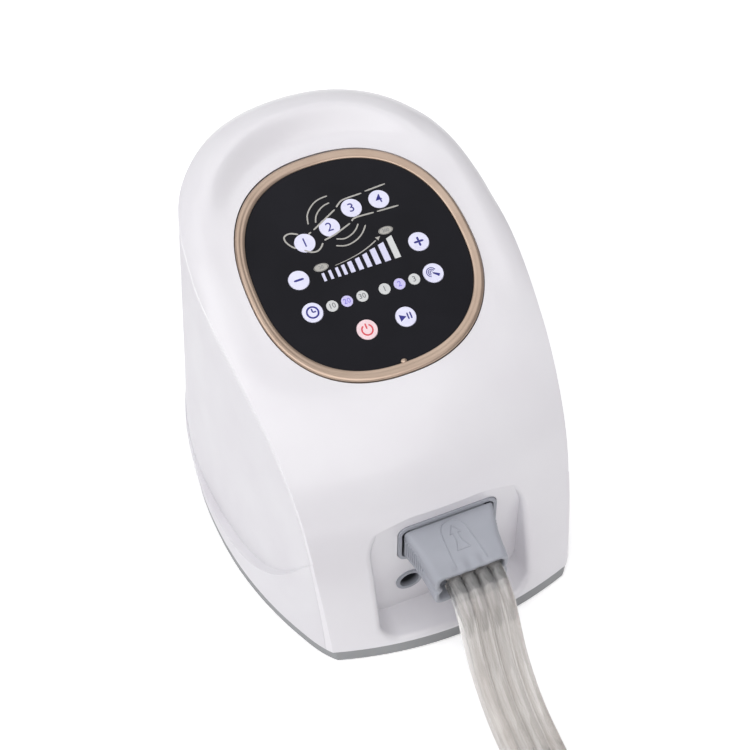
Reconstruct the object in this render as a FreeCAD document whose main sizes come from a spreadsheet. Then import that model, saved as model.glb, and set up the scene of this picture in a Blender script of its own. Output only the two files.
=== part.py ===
"""Compression therapy pump: a table-top air compressor for inflatable leg garments.

Frame: millimetres, +Z up, the front with the hose socket looks along -Y, the origin lies under
the middle of the part on the surface that it stands on.
"""

import FreeCAD, Part  # noqa: E401
import bisect
import math
import os

from FreeCAD import Placement, Rotation, Vector

X_AXIS, Y_AXIS, Z_AXIS = Vector(1, 0, 0), Vector(0, 1, 0), Vector(0, 0, 1)

doc = FreeCAD.newDocument("compression_pump")
sheet = doc.addObject("Spreadsheet::Sheet", "Sizes")
parts = []

# Driving dimensions: name, value (millimetres or degrees) and what it is.
SIZES = [
    # control panel: a cylinder about X, given at its reference point on the middle line
    ("panel_y", -10, "reference point of the panel"),
    ("panel_z", 173, "its height"),
    ("panel_slope", 19, "slope of the panel there, degrees"),
    ("panel_radius", 476, "curvature of the panel"),
    ("panel_low", 52, "length of the panel arc below the reference point"),
    # front profile below the panel
    ("shoulder_radius", 110, "curvature between panel and front"),
    ("shoulder_turn", 42, "degrees"),
    ("front_radius", 395, "curvature of the lower front"),
    ("front_turn", 13.5, "degrees"),
    # crown of the front across the part
    ("crown_panel", 4.5, "fall from the panel's flat to the side edge"),
    ("crown_base", 16, "fall at the bottom edge"),
    ("crown_half", 85, "half width that the falls are given at"),
    ("panel_flat", 60, "half width that stays flat beside the panel"),
    # raised rim round the top of the panel
    ("rim_height", 12.4, "height over the panel's cylinder at the top"),
    ("rim_start", 44, "depth at which the rim starts to rise"),
    ("rim_half", 78, "half width of the rim's crest"),
    ("rim_centre", 30, "where the rim's arch starts"),
    ("rim_reach", 79, "from there to the top of the arch"),
    ("rim_width", 9, "half width of the ridge"),
    ("valley", 1.2, "depth of the valley inside the rim"),
    ("roll_side", 17, "radius that the rim rolls off with at the sides"),
    ("roll_back", 26, "and at the back"),
    # walls and gaps
    ("cover_wall", 2.8, "front cover"),
    ("shell_wall", 2.8, "rear shell"),
    ("seam", 0.3, "gap between the two shells and round the tray"),
    ("lower_edge", 9.5, "where the white shells end above the table"),
    # base tray and feet
    ("tray_z", 1.5, "underside of the tray"),
    ("tray_floor", 2.5, "its floor"),
    ("tray_wall", 2.5, "its wall"),
    ("strip_inset", 0.5, "how far the grey strip stands back from the front cover"),
    ("strip_side", 1.4, "and from the side walls"),
    ("tray_inset", 3.1, "how far the tray's wall stands back inside the shells"),
    ("tray_lip", 3.6, "how far the tray's wall stands up inside the shells"),
    ("foot_r", 8, "radius of a rubber foot"),
    ("foot_deep", 1.5, "depth of a foot in its seat"),
    ("foot_x", 66, "place of the feet"),
    ("foot_front", -104, ""),
    ("foot_back", 96, ""),
    # hose niche in the front
    ("niche_half", 47, "half width"),
    ("niche_low", 13, "floor"),
    ("niche_high", 97.5, "top"),
    ("niche_back", -111.5, "back wall"),
    ("niche_round_low", 12, "corner radius at the floor"),
    ("niche_round_high", 24, "corner radius at the top"),
    ("niche_lip", 3.5, "rounding between the front and the niche"),
    # hose socket
    ("socket_x", 1.2, "middle of the socket and the plug"),
    ("socket_half", 28.6, "half width of the socket's mouth"),
    ("socket_high", 26, "height of the mouth"),
    ("socket_z", 74.5, "middle of the mouth"),
    ("socket_deep", 16, "depth of the mouth behind the niche's back wall"),
    ("socket_wall", 2, "wall of the socket"),
    ("frame_lip", 1.2, "how far the frame stands out of the back wall"),
    ("port_x", -22, "spare air port"),
    ("port_z", 36, ""),
    ("port_bore", 6, "radius of its bore"),
    ("port_ring", 8.2, "outer radius of its ring"),
    # hose plug
    ("plug_back_half", 26.4, "half width at the socket"),
    ("plug_end_half", 23.4, "half width at the tubes"),
    ("plug_high", 24, "height"),
    ("plug_long", 35, "length that stands out of the socket"),
    ("plug_deep", 13, "length inside the socket"),
    ("tube_d", 8, "outer diameter of one air tube"),
    ("tube_pitch", 8.4, "from tube to tube"),
    ("tube_columns", 4, ""),
    ("tube_rows", 2, ""),
    ("nipple_d", 4.4, "nipples of the socket"),
    ("plug_bore", 5.2, "bore of the plug's sockets for the nipples"),
    # coil of the hose on the table
    ("coil_x", -92, "middle of the coil"),
    ("coil_y", -338, ""),
    ("coil_inner", 53.5, "radius of its hole"),
    ("coil_outer", 100.5, "outer radius"),
    ("coil_high", 34, ""),
    ("coil_z", 1.2, "underside of the coil, which lies on its tie"),
    ("far_long", 44, "connector at the far end"),
    ("far_thick", 20, ""),
    ("far_high", 36, ""),
    ("tie_wide", 18, "width of the hook-and-loop tie"),
    ("tie_thick", 1.0, ""),
    # panel pieces
    ("bezel_inner", 62.2, "half width of the glass opening"),
    ("bezel_outer", 67.8, "half width of the ring"),
    ("bezel_up_in", 70.9, "from the outline's centre up"),
    ("bezel_up_out", 77.4, ""),
    ("bezel_down_in", 62.4, "and down"),
    ("bezel_down_out", 69.2, ""),
    ("bezel_centre", 17.6, "outline's centre above the reference point"),
    ("bezel_power", 2.32, "exponent of the rounded outline"),
    ("bezel_proud", 1.3, "how far the ring stands out"),
    ("bezel_depth", 3.2, "how deep it reaches"),
    ("glass_drop", 0.7, "how far the glass lies under the panel's cylinder"),
    ("glass_thick", 2.0, ""),
    ("key_r", 6, "radius of a key"),
    ("key_gap", 0.3, "gap round a key"),
    ("key_travel", 0.5, "how far a key goes in"),
    ("key_tall", 5.2, "height of a key cap"),
    ("lamp_r", 3.37, "radius of a small lamp window"),
    ("lens_gap", 0.25, "gap round a fixed window"),
    ("carrier_deep", 11.6, "depth of the panel carrier"),
    ("carrier_flange", 7, "flange of the carrier beyond the ring"),
    ("guide_inset", 8, "how far the light spreader stands back from the edge of the glass"),
    ("board_thick", 1.6, "every circuit board"),
    ("screw_r", 1.5, "shank radius of the screws"),
    ("screw_head", 3, "head radius"),
    # diaphragm pump
    ("pump_y", 42, "axis of the pump, which runs along X"),
    ("pump_z", 60, ""),
    ("pump_frame_half", 52, "half distance between the end plates"),
    ("pump_plate", 4, "end plate"),
    ("pump_side", 78, "end plates are this wide and high"),
    ("pump_head_r", 35, ""),
    ("pump_head_long", 18, ""),
    ("diaphragm_thick", 1.6, ""),
    ("clamp_r", 12, "clamp discs of the armature"),
    ("mount_r", 7, "rubber mounts"),
    ("hose_in", 5, "bore of the inner air hoses"),
    # air distributor
    ("valve_half", 31, "half width of the distributor body"),
    ("valve_front", -76, ""),
    ("valve_deep", 28, ""),
    ("valve_high", 38, ""),
    ("rotor_r", 14, ""),
    ("rotor_thick", 7, ""),
    ("axle_r", 3, ""),
    ("motor_r", 18, ""),
    ("motor_long", 20, ""),
    # boards
    ("board_y", -16, "control board"),
    ("board_half", 50, ""),
    ("board_low", 9, "lower edge of the upright boards"),
    ("board_high", 92, ""),
    ("supply_y", 98, "power supply board"),
    ("supply_half", 45, ""),
    ("supply_high", 72, ""),
    ("inlet_half", 12, "mains inlet"),
    ("inlet_z", 40, ""),
    ("inlet_high", 20, ""),
    ("inlet_face", 137.4, "depth of its outer face"),
]

# Plan of the side walls from front to back, half of it: depth, half width on the table's plane,
# and the same at the height `WALL_AT`. The walls go on to `WALL_TOP` with the same lean.
WALL_AT, WALL_TOP = 200, 235
WALL_PLAN = [
    ((-160, 30), (-160, 30)),
    ((-140, 58), (-140, 50)),
    ((-122, 79.0), (-122, 69)),
    ((-105, 87), (-105, 74)),
    ((-67, 96), (-67, 81)),
    ((-27, 101.5), (-27, 87)),
    ((17, 103.3), (17, 90.5)),
    ((53, 99.5), (53, 88)),
    ((77, 92.5), (77, 82.5)),
    ((95, 84.5), (95, 72.5)),
    ((112, 72.5), (112, 55)),
    ((127, 54), (125, 34)),
    ((136.5, 29), (130, 17)),
    ((140, 0), (131.5, 0)),
]
# Plan of the skirt round the foot of the rear shell.
SKIRT_AT = 100
SKIRT_PLAN = [
    ((-160, 30), (-160, 30)),
    ((-140, 58), (-140, 50)),
    ((-122, 79.2), (-122, 72)),
    ((-106, 87.6), (-106, 80)),
    ((-92, 93.2), (-92, 85.5)),
    ((-66, 101.0), (-66, 93)),
    ((-37, 106.0), (-37, 98)),
    ((-11, 107.2), (-11, 99.5)),
    ((14, 106.2), (14, 99)),
    ((37, 103.0), (37, 96.5)),
    ((61, 98.4), (61, 93)),
    ((85, 90.0), (85, 86)),
    ((104, 79.5), (104, 76)),
    ((120, 64.0), (120, 61)),
    ((133.5, 39.5), (133, 37)),
    ((140.4, 0), (139, 0)),
]
# Middle of both plans, their closing point in front, the number of columns that the walls are
# made with, and the least width of the step between skirt and wall.
PLAN_MIDDLE, FRONT_MIDDLE, PLAN_COLUMNS, LEAST_STEP = 10, -178, 96, 0.15
# Upper edge of the skirt seen from the side: depth and height, front to back.
SKIRT_EDGE = [(-160, 110), (-112, 79), (-86, 46), (-58, 27), (-25, 19.5), (40, 17.5), (150, 17.5)]

# Keys and windows of the panel: across and up the slope from the reference point.
KEYS = {
    "key_minus": (-36.8, 20.4),
    "key_plus": (36.8, 20.4),
    "key_time": (-36.9, -0.6),
    "key_mode": (36.9, -0.6),
    "key_power": (-11.8, -20.1),
    "key_start": (11.8, -20.1),
}
ZONES = [(-24.8, 41.2), (-7.7, 46.0), (9.0, 53.7), (26.2, 53.8)]
TIMES = [(-25.1, -0.6), (-16.1, -0.6), (-6.8, -0.6)]
MODES = [(6.8, -0.6), (16.0, -0.6), (25.1, -0.6)]
# Level bars: left and right edge, and how tall they are there, with one foot line.
BARS = [(-23.4, -21.8, 5.1, 5.2), (-19.2, -17.5, 5.5, 5.8), (-14.9, -13.1, 5.8, 6.1), (-11.1, -9.1, 6.2, 6.4),
        (-7.1, -4.4, 6.8, 7.1), (-2.1, 0.7, 7.3, 7.8), (2.9, 5.8, 8.3, 9), (8, 11.4, 9.8, 10.5),
        (13.7, 17.4, 11.2, 12.1), (19.8, 23.5, 13.5, 14.6)]
BAR_FOOT = 14.8

# Route of the hose from the plug to the coil, in the part's middle plane: depth and height.
HOSE = [(-146.5, 74.5), (-154.5, 74.2), (-164, 66), (-172.5, 51), (-185, 33.5), (-208, 17), (-238, 10.8),
        (-278, 9.3), (-307, 9.8), (-338, 9.4)]


def fill_sheet() -> None:
    """Write the driving dimensions into the sheet, one row each with its alias."""
    for row, (name, value, remark) in enumerate(SIZES, start=1):
        sheet.set(f"A{row}", name)
        sheet.set(f"B{row}", str(value))
        sheet.set(f"C{row}", remark)
        sheet.setAlias(f"B{row}", name)
    doc.recompute()


def size(name: str) -> float:
    """A driving dimension as a number."""
    return float(sheet.get(name))


def bind(item, expressions: dict) -> None:
    """Bind properties of a document object to expressions over the sheet."""
    for name, text in expressions.items():
        item.setExpression(name, linked(text))


def linked(text) -> str:
    """An expression in which every alias of the sheet is addressed through the sheet."""
    words, word = [], ""
    for letter in str(text) + " ":
        if letter.isalnum() or letter == "_":
            word += letter
            continue
        words.append(f"Sizes.{word}" if word in ALIASES else word)
        words.append(letter)
        word = ""
    return "".join(words).strip()


ALIASES = {name for name, _, _ in SIZES}


def at(item, x=0, y=0, z=0) -> None:
    """Bind the place of an object to three expressions."""
    bind(item, {".Placement.Base.x": x, ".Placement.Base.y": y, ".Placement.Base.z": z})


def box(name: str, low, lengths):
    """A Part::Box from the expressions of its low corner and its three lengths."""
    item = doc.addObject("Part::Box", name)
    bind(item, dict(zip(("Length", "Width", "Height"), lengths)))
    at(item, *low)
    return item


def rod(name: str, foot, radius, length, along="z"):
    """A Part::Cylinder from the middle of its foot, its radius and its length along an axis."""
    item = doc.addObject("Part::Cylinder", name)
    bind(item, {"Radius": radius, "Height": length})
    turn = {"x": Rotation(Y_AXIS, 90), "y": Rotation(X_AXIS, -90), "z": Rotation()}[along]
    item.Placement = Placement(Vector(), turn)
    at(item, *foot)
    return item


def joined(name: str, items):
    """The union of several objects."""
    item = doc.addObject("Part::MultiFuse", name)
    item.Shapes = items
    return item


def cut(name: str, base, tools):
    """An object less one or more others."""
    item = doc.addObject("Part::Cut", name)
    item.Base = base
    if len(tools) == 1:
        item.Tool = tools[0]
    else:
        item.Tool = joined(f"{name}_tools", tools)
    return item


def part(item, label: str):
    """Mark an object as a sub-part that is written to its own file."""
    item.Label = label
    parts.append(item)
    return item


def solid(label: str, shape, placement=None):
    """A sub-part whose shape comes from Part's own functions."""
    item = doc.addObject("Part::Feature", label)
    item.Shape = shape
    if placement is not None:
        item.Placement = placement
    return part(item, label)


def group(label: str, shapes, placement=None):
    """A sub-part of several separate solids."""
    return solid(label, Part.makeCompound(shapes), placement)


# --- the outer form -------------------------------------------------------------------------


def profile(length: float):
    """Point and slope (degrees) of the front profile, `length` along it above the reference point."""
    slope, radius = size("panel_slope"), size("panel_radius")
    y, z = size("panel_y"), size("panel_z")
    pieces = [
        (radius, size("panel_low")),
        (size("shoulder_radius"), math.radians(size("shoulder_turn")) * size("shoulder_radius")),
        (size("front_radius"), math.radians(size("front_turn")) * size("front_radius")),
    ]
    if length >= 0:
        return along_arc(y, z, slope, radius, length)
    left = -length
    for radius, long in pieces:
        step = min(left, long)
        y, z, slope = along_arc(y, z, slope, radius, -step)
        left -= step
    tilt = math.radians(slope)
    return y - left * math.cos(tilt), z - left * math.sin(tilt), slope


def along_arc(y: float, z: float, slope: float, radius: float, length: float):
    """Follow an arc that bends down towards the back from a point and its slope."""
    start = math.radians(slope)
    end = start - length / radius
    y += radius * (math.sin(start) - math.sin(end))
    z += radius * (math.cos(end) - math.cos(start))
    return y, z, math.degrees(end)


def smooth(value: float) -> float:
    """A soft step from 0 to 1."""
    value = min(max(value, 0.0), 1.0)
    return value * value * (3 - 2 * value)


def panel_height(y: float) -> float:
    """Height of the panel's cylinder at a depth."""
    radius, tilt = size("panel_radius"), math.radians(size("panel_slope"))
    middle_y = size("panel_y") + radius * math.sin(tilt)
    middle_z = size("panel_z") - radius * math.cos(tilt)
    return middle_z + math.sqrt(radius**2 - (y - middle_y) ** 2)


def crown(x: float, length: float) -> float:
    """How far the front falls away across the part, without the rim."""
    across = abs(x)
    flat, half = size("panel_flat"), size("crown_half")
    beside = size("crown_panel") * (max(across - flat, 0) / (half + 6 - flat)) ** 2
    down = profile_down(length)
    fall = size("crown_panel") + (size("crown_base") - size("crown_panel")) * down**1.35
    low = fall * (across / half) ** 2
    blend = smooth((-length - 30) / 60)
    return beside * (1 - blend) + low * blend


def profile_down(length: float) -> float:
    """0 near the panel and 1 at the foot of the front."""
    shoulder = math.radians(size("shoulder_turn")) * size("shoulder_radius")
    front = math.radians(size("front_turn")) * size("front_radius")
    foot = size("panel_low") + shoulder + front
    start = 20
    return min(max((-length - start) / (foot - start), 0.0), 1.0)


def rim(x: float, y: float) -> float:
    """Height of the rim, its valley and its roll-off over the panel's cylinder, or None in front."""
    half, reach, centre = size("rim_half"), size("rim_reach"), size("rim_centre")
    power = 2.2
    up = max(y - centre, 0.0)
    ratio = ((abs(x) / half) ** power + (up / reach) ** power) ** (1 / power)
    if ratio < 0.2:
        return 0.0
    crest_x, crest_y = x / ratio, centre + up / ratio
    if up == 0:
        crest_y = y
    away = math.hypot(x - crest_x, y - crest_y) * (1 if ratio > 1 else -1)
    start = size("rim_start")
    rise = (max(crest_y - start, 0.0) / (centre + reach - start)) ** 1.5
    height = size("rim_height") * rise
    if away <= 0:
        ridge = math.exp(-((away / size("rim_width")) ** 2))
        trough = math.exp(-(((away + 17) / 7) ** 2))
        return height * ridge - size("valley") * rise * trough
    back = smooth((crest_y - centre) / reach)
    radius = size("roll_side") + (size("roll_back") - size("roll_side")) * back
    radius += 8 * smooth((centre - y) / 40)
    limit = 0.93 * radius
    inside = min(away, limit)
    fall = radius - math.sqrt(radius**2 - inside**2)
    fall += (away - inside) * limit / math.sqrt(radius**2 - limit**2)
    level = panel_height(y) - panel_height(crest_y)
    return height - fall - level


def front_point(x: float, length: float, depth: float) -> Vector:
    """A point `depth` under the front surface, by its place across and along the profile."""
    y, z, slope = profile(length)
    tilt = math.radians(slope)
    flat = smooth((length + 45) / 40)
    over = -crown(x, length) * (1 - flat * smooth((abs(x) - 66) / 12))
    if flat > 0:
        over += flat * rim(x, y)
    over -= depth
    return Vector(x, y - over * math.sin(tilt), z + over * math.cos(tilt))


def front_solid(depth: float):
    """All that lies behind and below the front surface, moved inwards by `depth`."""
    key = round(depth, 3)
    if key not in FRONT_SOLIDS:
        FRONT_SOLIDS[key] = make_front_solid(key)
    return FRONT_SOLIDS[key]


FRONT_SOLIDS = {}


def make_front_solid(depth: float, down=400.0):
    """Interpolate the front surface `depth` under the outside and fill all behind it."""
    rows = [-238, -225, -210, -195, -180, -165, -150, -135, -120, -105, -92, -80, -70, -60, -52, -45]
    rows += [-38 + 6 * i for i in range(14)]
    rows += [46 + 3.4 * i for i in range(40)]
    columns = [-118, -110, -104, -98]
    columns += [-94.5 + 3.5 * i for i in range(55)]
    columns += [98, 104, 110, 118]
    points = [[front_point(x, row, depth) for x in columns] for row in rows]
    surface = Part.BSplineSurface()
    surface.interpolate(points)
    return surface.toShape().extrude(Vector(0, 0.2 * down, -down))


def reaches(plan, upper: bool, inset: float):
    """A closed plan moved inwards, as a list of angle from the front and reach from its middle."""
    half = [Vector(0, FRONT_MIDDLE, 0)]
    half += [Vector((high if upper else low)[1], (high if upper else low)[0], 0) for low, high in plan]
    loop = half + [Vector(-p.x, p.y, 0) for p in reversed(half[1:-1])]
    moved = []
    for i, point in enumerate(loop):
        along = (loop[(i + 1) % len(loop)] - loop[i - 1]).normalize()
        moved.append(point + Vector(-along.y, along.x, 0) * inset)
    curve = Part.BSplineCurve()
    curve.interpolate(moved, PeriodicFlag=True)
    line = []
    for point in curve.toShape().discretize(600)[:-1]:
        angle = math.atan2(point.x, PLAN_MIDDLE - point.y) % (2 * math.pi)
        line.append((angle, math.hypot(point.x, point.y - PLAN_MIDDLE)))
    return sorted(line)


def between(line, place: float) -> float:
    """Value of a table of pairs at a place, on straight lines between the pairs."""
    at_once = bisect.bisect_left(line, (place,))
    if at_once in (0, len(line)):
        return line[min(at_once, len(line) - 1)][1]
    (a, low), (b, high) = line[at_once - 1], line[at_once]
    return low + (high - low) * (place - a) / (b - a)


def skirt_edge():
    """The skirt's upper edge as a smooth table of depth and height."""
    curve = Part.BSplineCurve()
    curve.interpolate([Vector(y, z, 0) for y, z in SKIRT_EDGE])
    return [(p.x, p.y) for p in curve.toShape().discretize(200)]


def side_solid(inset: float):
    """Leaning side walls and the wider skirt round their foot, as one solid moved inwards."""
    wall_low, wall_high = reaches(WALL_PLAN, False, inset), reaches(WALL_PLAN, True, inset)
    foot_low, foot_high = reaches(SKIRT_PLAN, False, inset), reaches(SKIRT_PLAN, True, inset)
    edge = skirt_edge()
    rings = [[], [], [], []]
    for i in range(PLAN_COLUMNS):
        angle = 2 * math.pi * i / PLAN_COLUMNS
        low, high = between(wall_low, angle), between(wall_high, angle)
        foot, knee = between(foot_low, angle), between(foot_high, angle)
        height = between(edge, PLAN_MIDDLE - low * math.cos(angle)) - inset
        wall = low + (high - low) * height / WALL_AT
        skirt = max(foot + (knee - foot) * height / SKIRT_AT, wall + LEAST_STEP)
        top = low + (high - low) * WALL_TOP / WALL_AT
        levels = ((max(foot, low + LEAST_STEP), 0), (skirt, height), (wall, height), (top, WALL_TOP))
        for ring, (reach, z) in zip(rings, levels):
            ring.append(Vector(reach * math.sin(angle), PLAN_MIDDLE - reach * math.cos(angle), z))
    wires = []
    for ring in rings:
        curve = Part.BSplineCurve()
        curve.interpolate(ring, PeriodicFlag=True)
        wires.append(Part.Wire([curve.toShape()]))
    return Part.makeLoft(wires, True, True)


def slab(low: float, high: float):
    """Everything between two heights."""
    return Part.makeBox(400, 500, high - low, Vector(-200, -200, low))


def outer_form(inset: float, depth: float):
    """The whole outer form, moved inwards by `inset` at the sides and `depth` at the front."""
    return side_solid(inset).common(front_solid(depth))


# --- the panel's own frame ------------------------------------------------------------------


def panel_frame(across=0.0, up=0.0) -> Placement:
    """Frame on the panel: X across, Y up the slope, Z out of it, `up` along the cylinder."""
    turned = up / size("panel_radius")
    tilt = math.radians(size("panel_slope")) - turned
    y, z, _ = along_arc(size("panel_y"), size("panel_z"), size("panel_slope"), size("panel_radius"), up)
    return Placement(Vector(across, y, z), Rotation(X_AXIS, math.degrees(tilt)))


def rounded(half: float, above: float, below: float, grow=0.0, points=48):
    """The panel's rounded outline as a closed wire in the panel's frame."""
    power = size("bezel_power")
    outline = []
    for i in range(points):
        angle = 2 * math.pi * i / points
        c, s = math.cos(angle), math.sin(angle)
        reach = above if s > 0 else below
        x = (half + grow) * math.copysign(abs(c) ** (2 / power), c)
        y = (reach + grow) * math.copysign(abs(s) ** (2 / power), s)
        outline.append(Vector(x, size("bezel_centre") + y, 0))
    curve = Part.BSplineCurve()
    curve.interpolate(outline, PeriodicFlag=True)
    return Part.Wire([curve.toShape()])


def outline_prism(wire, low=-40.0, high=30.0):
    """A wire in the panel's frame as a prism."""
    face = Part.Face(wire)
    face.translate(Vector(0, 0, low))
    return face.extrude(Vector(0, 0, high - low))


def inner_outline(grow=0.0):
    """Edge of the glass opening."""
    return rounded(size("bezel_inner"), size("bezel_up_in"), size("bezel_down_in"), grow)


def outer_outline(grow=0.0):
    """Outer edge of the ring round the glass."""
    return rounded(size("bezel_outer"), size("bezel_up_out"), size("bezel_down_out"), grow)


def panel_layer(low: float, high: float):
    """The layer between two depths under the panel's cylinder, in the panel's frame."""
    radius = size("panel_radius")
    foot, turn = Vector(-120, 0, -radius), Vector(1, 0, 0)
    outer = Part.makeCylinder(radius + high, 240, foot, turn)
    inner = Part.makeCylinder(radius + low, 240, foot, turn)
    near = Part.makeBox(240, 260, 90, Vector(-120, -130, -60))
    return outer.cut(inner).common(near)


# --- shells ---------------------------------------------------------------------------------


def niche_prism(grow: float):
    """The niche as seen from the front, from its back wall outwards, `grow` bigger all round."""
    half, low, high = size("niche_half") + grow, size("niche_low") - grow, size("niche_high") + grow
    small, large = size("niche_round_low") + grow, size("niche_round_high") + grow
    k = math.sqrt(0.5)

    def corner(cx, cz, radius, sx, sz):
        start = Vector(cx + sx * radius, 0, cz)
        middle = Vector(cx + sx * radius * k, 0, cz + sz * radius * k)
        end = Vector(cx, 0, cz + sz * radius)
        return start, middle, end

    lower = corner(half - small, low + small, small, 1, -1)
    upper = corner(half - large, high - large, large, 1, 1)
    arcs = [lower[::-1], upper]
    arcs += [[Vector(-p.x, 0, p.z) for p in upper[::-1]], [Vector(-p.x, 0, p.z) for p in lower]]
    edges = []
    for i, arc in enumerate(arcs):
        edges.append(Part.Arc(*arc).toShape())
        edges.append(Part.LineSegment(arc[2], arcs[(i + 1) % 4][0]).toShape())
    face = Part.Face(Part.Wire(edges))
    face.translate(Vector(0, size("niche_back") + grow, 0))
    return face.extrude(Vector(0, -80, 0))


def socket_block_box(grow=0.0, front=None, back=None):
    """The socket's outer block, a box across the niche's back wall."""
    half = size("socket_half") + size("socket_wall") + grow
    high = size("socket_high") / 2 + size("socket_wall") + grow
    front = size("niche_back") - size("frame_lip") if front is None else front
    back = size("niche_back") + size("socket_deep") if back is None else back
    low = Vector(size("socket_x") - half, front, size("socket_z") - high)
    block = Part.makeBox(2 * half, back - front, 2 * high, low)
    along = [e for e in block.Edges if abs((e.Vertexes[1].Point - e.Vertexes[0].Point).y) > 1]
    return block.makeFillet(6, along)


def port_cylinder(radius: float, front: float, back: float):
    """A cylinder along Y at the spare port."""
    foot = Vector(size("port_x"), front, size("port_z"))
    return Part.makeCylinder(radius, back - front, foot, Y_AXIS)


def boss_places():
    """Screw bosses that hold the shells on the tray: x, y and which shell."""
    return [(-56, -94, "front"), (56, -94, "front"), (-72, 70, "rear"), (72, 70, "rear"),
            (-88, -40, "rear"), (88, -40, "rear")]


def bosses(which: str, top: float):
    """The bosses of one shell with their pilot holes."""
    made = []
    floor = size("tray_z") + size("tray_floor")
    for x, y, owner in boss_places():
        if owner == which:
            post = Part.makeCylinder(4, top - floor, Vector(x, y, floor))
            made.append(post.cut(Part.makeCylinder(size("screw_r"), 12, Vector(x, y, floor))))
    return made


def make_shells() -> None:
    """The white front cover and rear shell, split under the front surface."""
    wall, shell_wall, edge = size("cover_wall"), size("shell_wall"), size("lower_edge")
    seam = size("seam")
    above = slab(edge, 260)
    whole = outer_form(0, 0).common(above)
    behind = front_solid(wall)
    skin = whole.cut(behind)
    tub = niche_prism(wall).common(whole)
    cover = skin.fuse(tub).cut(niche_prism(0))
    opening = outline_prism(outer_outline(size("key_gap")))
    opening.Placement = panel_frame()
    cover = cover.cut(opening)
    cover = cover.cut(socket_block_box(seam, size("niche_back") - 9, size("niche_back") + 30))
    port = port_cylinder(size("port_bore") + 1.5, size("niche_back") - 5, size("niche_back") + 9)
    cover = cover.cut(port)
    web_low = size("lower_edge") + size("tray_lip") + 4
    webs = [Part.makeBox(3, 50, 16, Vector(x - 1.5, y - 50, web_low)) for x, y, owner in boss_places()
            if owner == "front"]
    ribs = [w.common(whole).cut(niche_prism(0)) for w in webs]
    posts = bosses("front", web_low + 16)
    for piece in ribs + posts:
        cover = cover.fuse(piece)
    for x, y, owner in boss_places():
        if owner == "front":
            cover = cover.cut(Part.makeCylinder(size("screw_r"), 12, Vector(x, y, 4)))
    cover = max(cover.Solids, key=lambda s: s.Volume).removeSplitter()
    solid("front_cover", cover.makeFillet(size("niche_lip"), niche_lips(cover)))

    hollow = whole.cut(side_solid(shell_wall))
    rear = hollow.common(front_solid(wall + seam))
    rear = rear.cut(niche_prism(wall + seam))
    rear = max(rear.Solids, key=lambda s: s.Volume)
    rear = rear.cut(mains_hole())
    for vent in vents():
        rear = rear.cut(vent)
    for piece in rear_posts(whole):
        rear = rear.fuse(piece)
    solid("rear_shell", rear.removeSplitter())


def niche_lips(cover):
    """Edges where the floor and walls of the niche meet the front surface."""
    half, low = size("niche_half") + 0.05, size("niche_low") - 0.05
    back = size("niche_back") - 1
    lips = []
    for edge in cover.Edges:
        first, last = edge.FirstParameter, edge.LastParameter
        points = [edge.valueAt(first + share * (last - first)) for share in (0, 0.5, 1)]
        near = all(abs(p.x) < half and low < p.z < 74 and p.y < back for p in points)
        if near and not isinstance(edge.Curve, (Part.Line, Part.Circle)):
            lips.append(edge)
    return lips


def rear_posts(whole):
    """Bosses of the rear shell, each tied to the wall beside it by a web."""
    made = []
    low = size("lower_edge") + size("tray_lip") + 4
    for x, y, owner in boss_places():
        if owner == "rear":
            side = math.copysign(1, x)
            web = Part.makeBox(30, 3, 16, Vector(0, y - 1.5, low))
            web = web if side > 0 else web.mirror(Vector(), X_AXIS)
            web.translate(Vector(x, 0, 0))
            made.append(web.common(whole))
    for post in bosses("rear", low + 16):
        made.append(post)
    merged = made[0]
    for piece in made[1:]:
        merged = merged.fuse(piece)
    for x, y, owner in boss_places():
        if owner == "rear":
            merged = merged.cut(Part.makeCylinder(size("screw_r"), 12, Vector(x, y, 4)))
    return merged.Solids


def mains_hole():
    """Hole for the mains inlet in the back wall."""
    grow = size("seam")
    half, high = size("inlet_half") + grow, size("inlet_high") + 2 * grow
    low = Vector(-half, 110, size("inlet_z") - high / 2)
    return Part.makeBox(2 * half, 60, high, low)


def vents():
    """Rows of slots in the back wall."""
    made = []
    for row in range(5):
        for column in range(-3, 4):
            low = Vector(column * 11 - 4, 100, 92 + row * 7)
            made.append(Part.makeBox(8, 60, 3, low))
    return made


def make_tray() -> None:
    """Grey base tray with a raised wall inside the shells, board rails, slots and foot seats."""
    inset, wall, edge = size("tray_inset"), size("tray_wall"), size("lower_edge")
    low, floor = size("tray_z"), size("tray_floor")
    top = edge + size("tray_lip")
    strip = outer_form(size("strip_side"), size("strip_inset")).common(slab(low, edge - size("seam")))
    block = strip.fuse(outer_form(inset, inset).common(slab(low, top)))
    inner = outer_form(inset + wall, inset + wall).common(slab(low + floor, top + 1))
    tray = block.cut(inner)
    tray = tray.cut(niche_prism(size("cover_wall") + size("seam")))
    for x, y, _ in boss_places():
        tray = tray.cut(Part.makeCylinder(size("screw_r") + 0.3, 12, Vector(x, y, -1)))
        tray = tray.cut(Part.makeCylinder(size("screw_head") + 0.4, 3.3, Vector(x, y, -0.5)))
    for x, y in foot_places():
        seat = Vector(x, y, low + size("foot_deep") - 10)
        tray = tray.cut(Part.makeCylinder(size("foot_r") + size("seam"), 10, seat))
    for i in range(9):
        slot = Part.makeBox(3, 44, 10, Vector(-34 + 8 * i, -60, -1))
        tray = tray.cut(slot)
    for piece in board_rails():
        tray = tray.fuse(piece)
    solid("base_tray", tray.removeSplitter())


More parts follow.
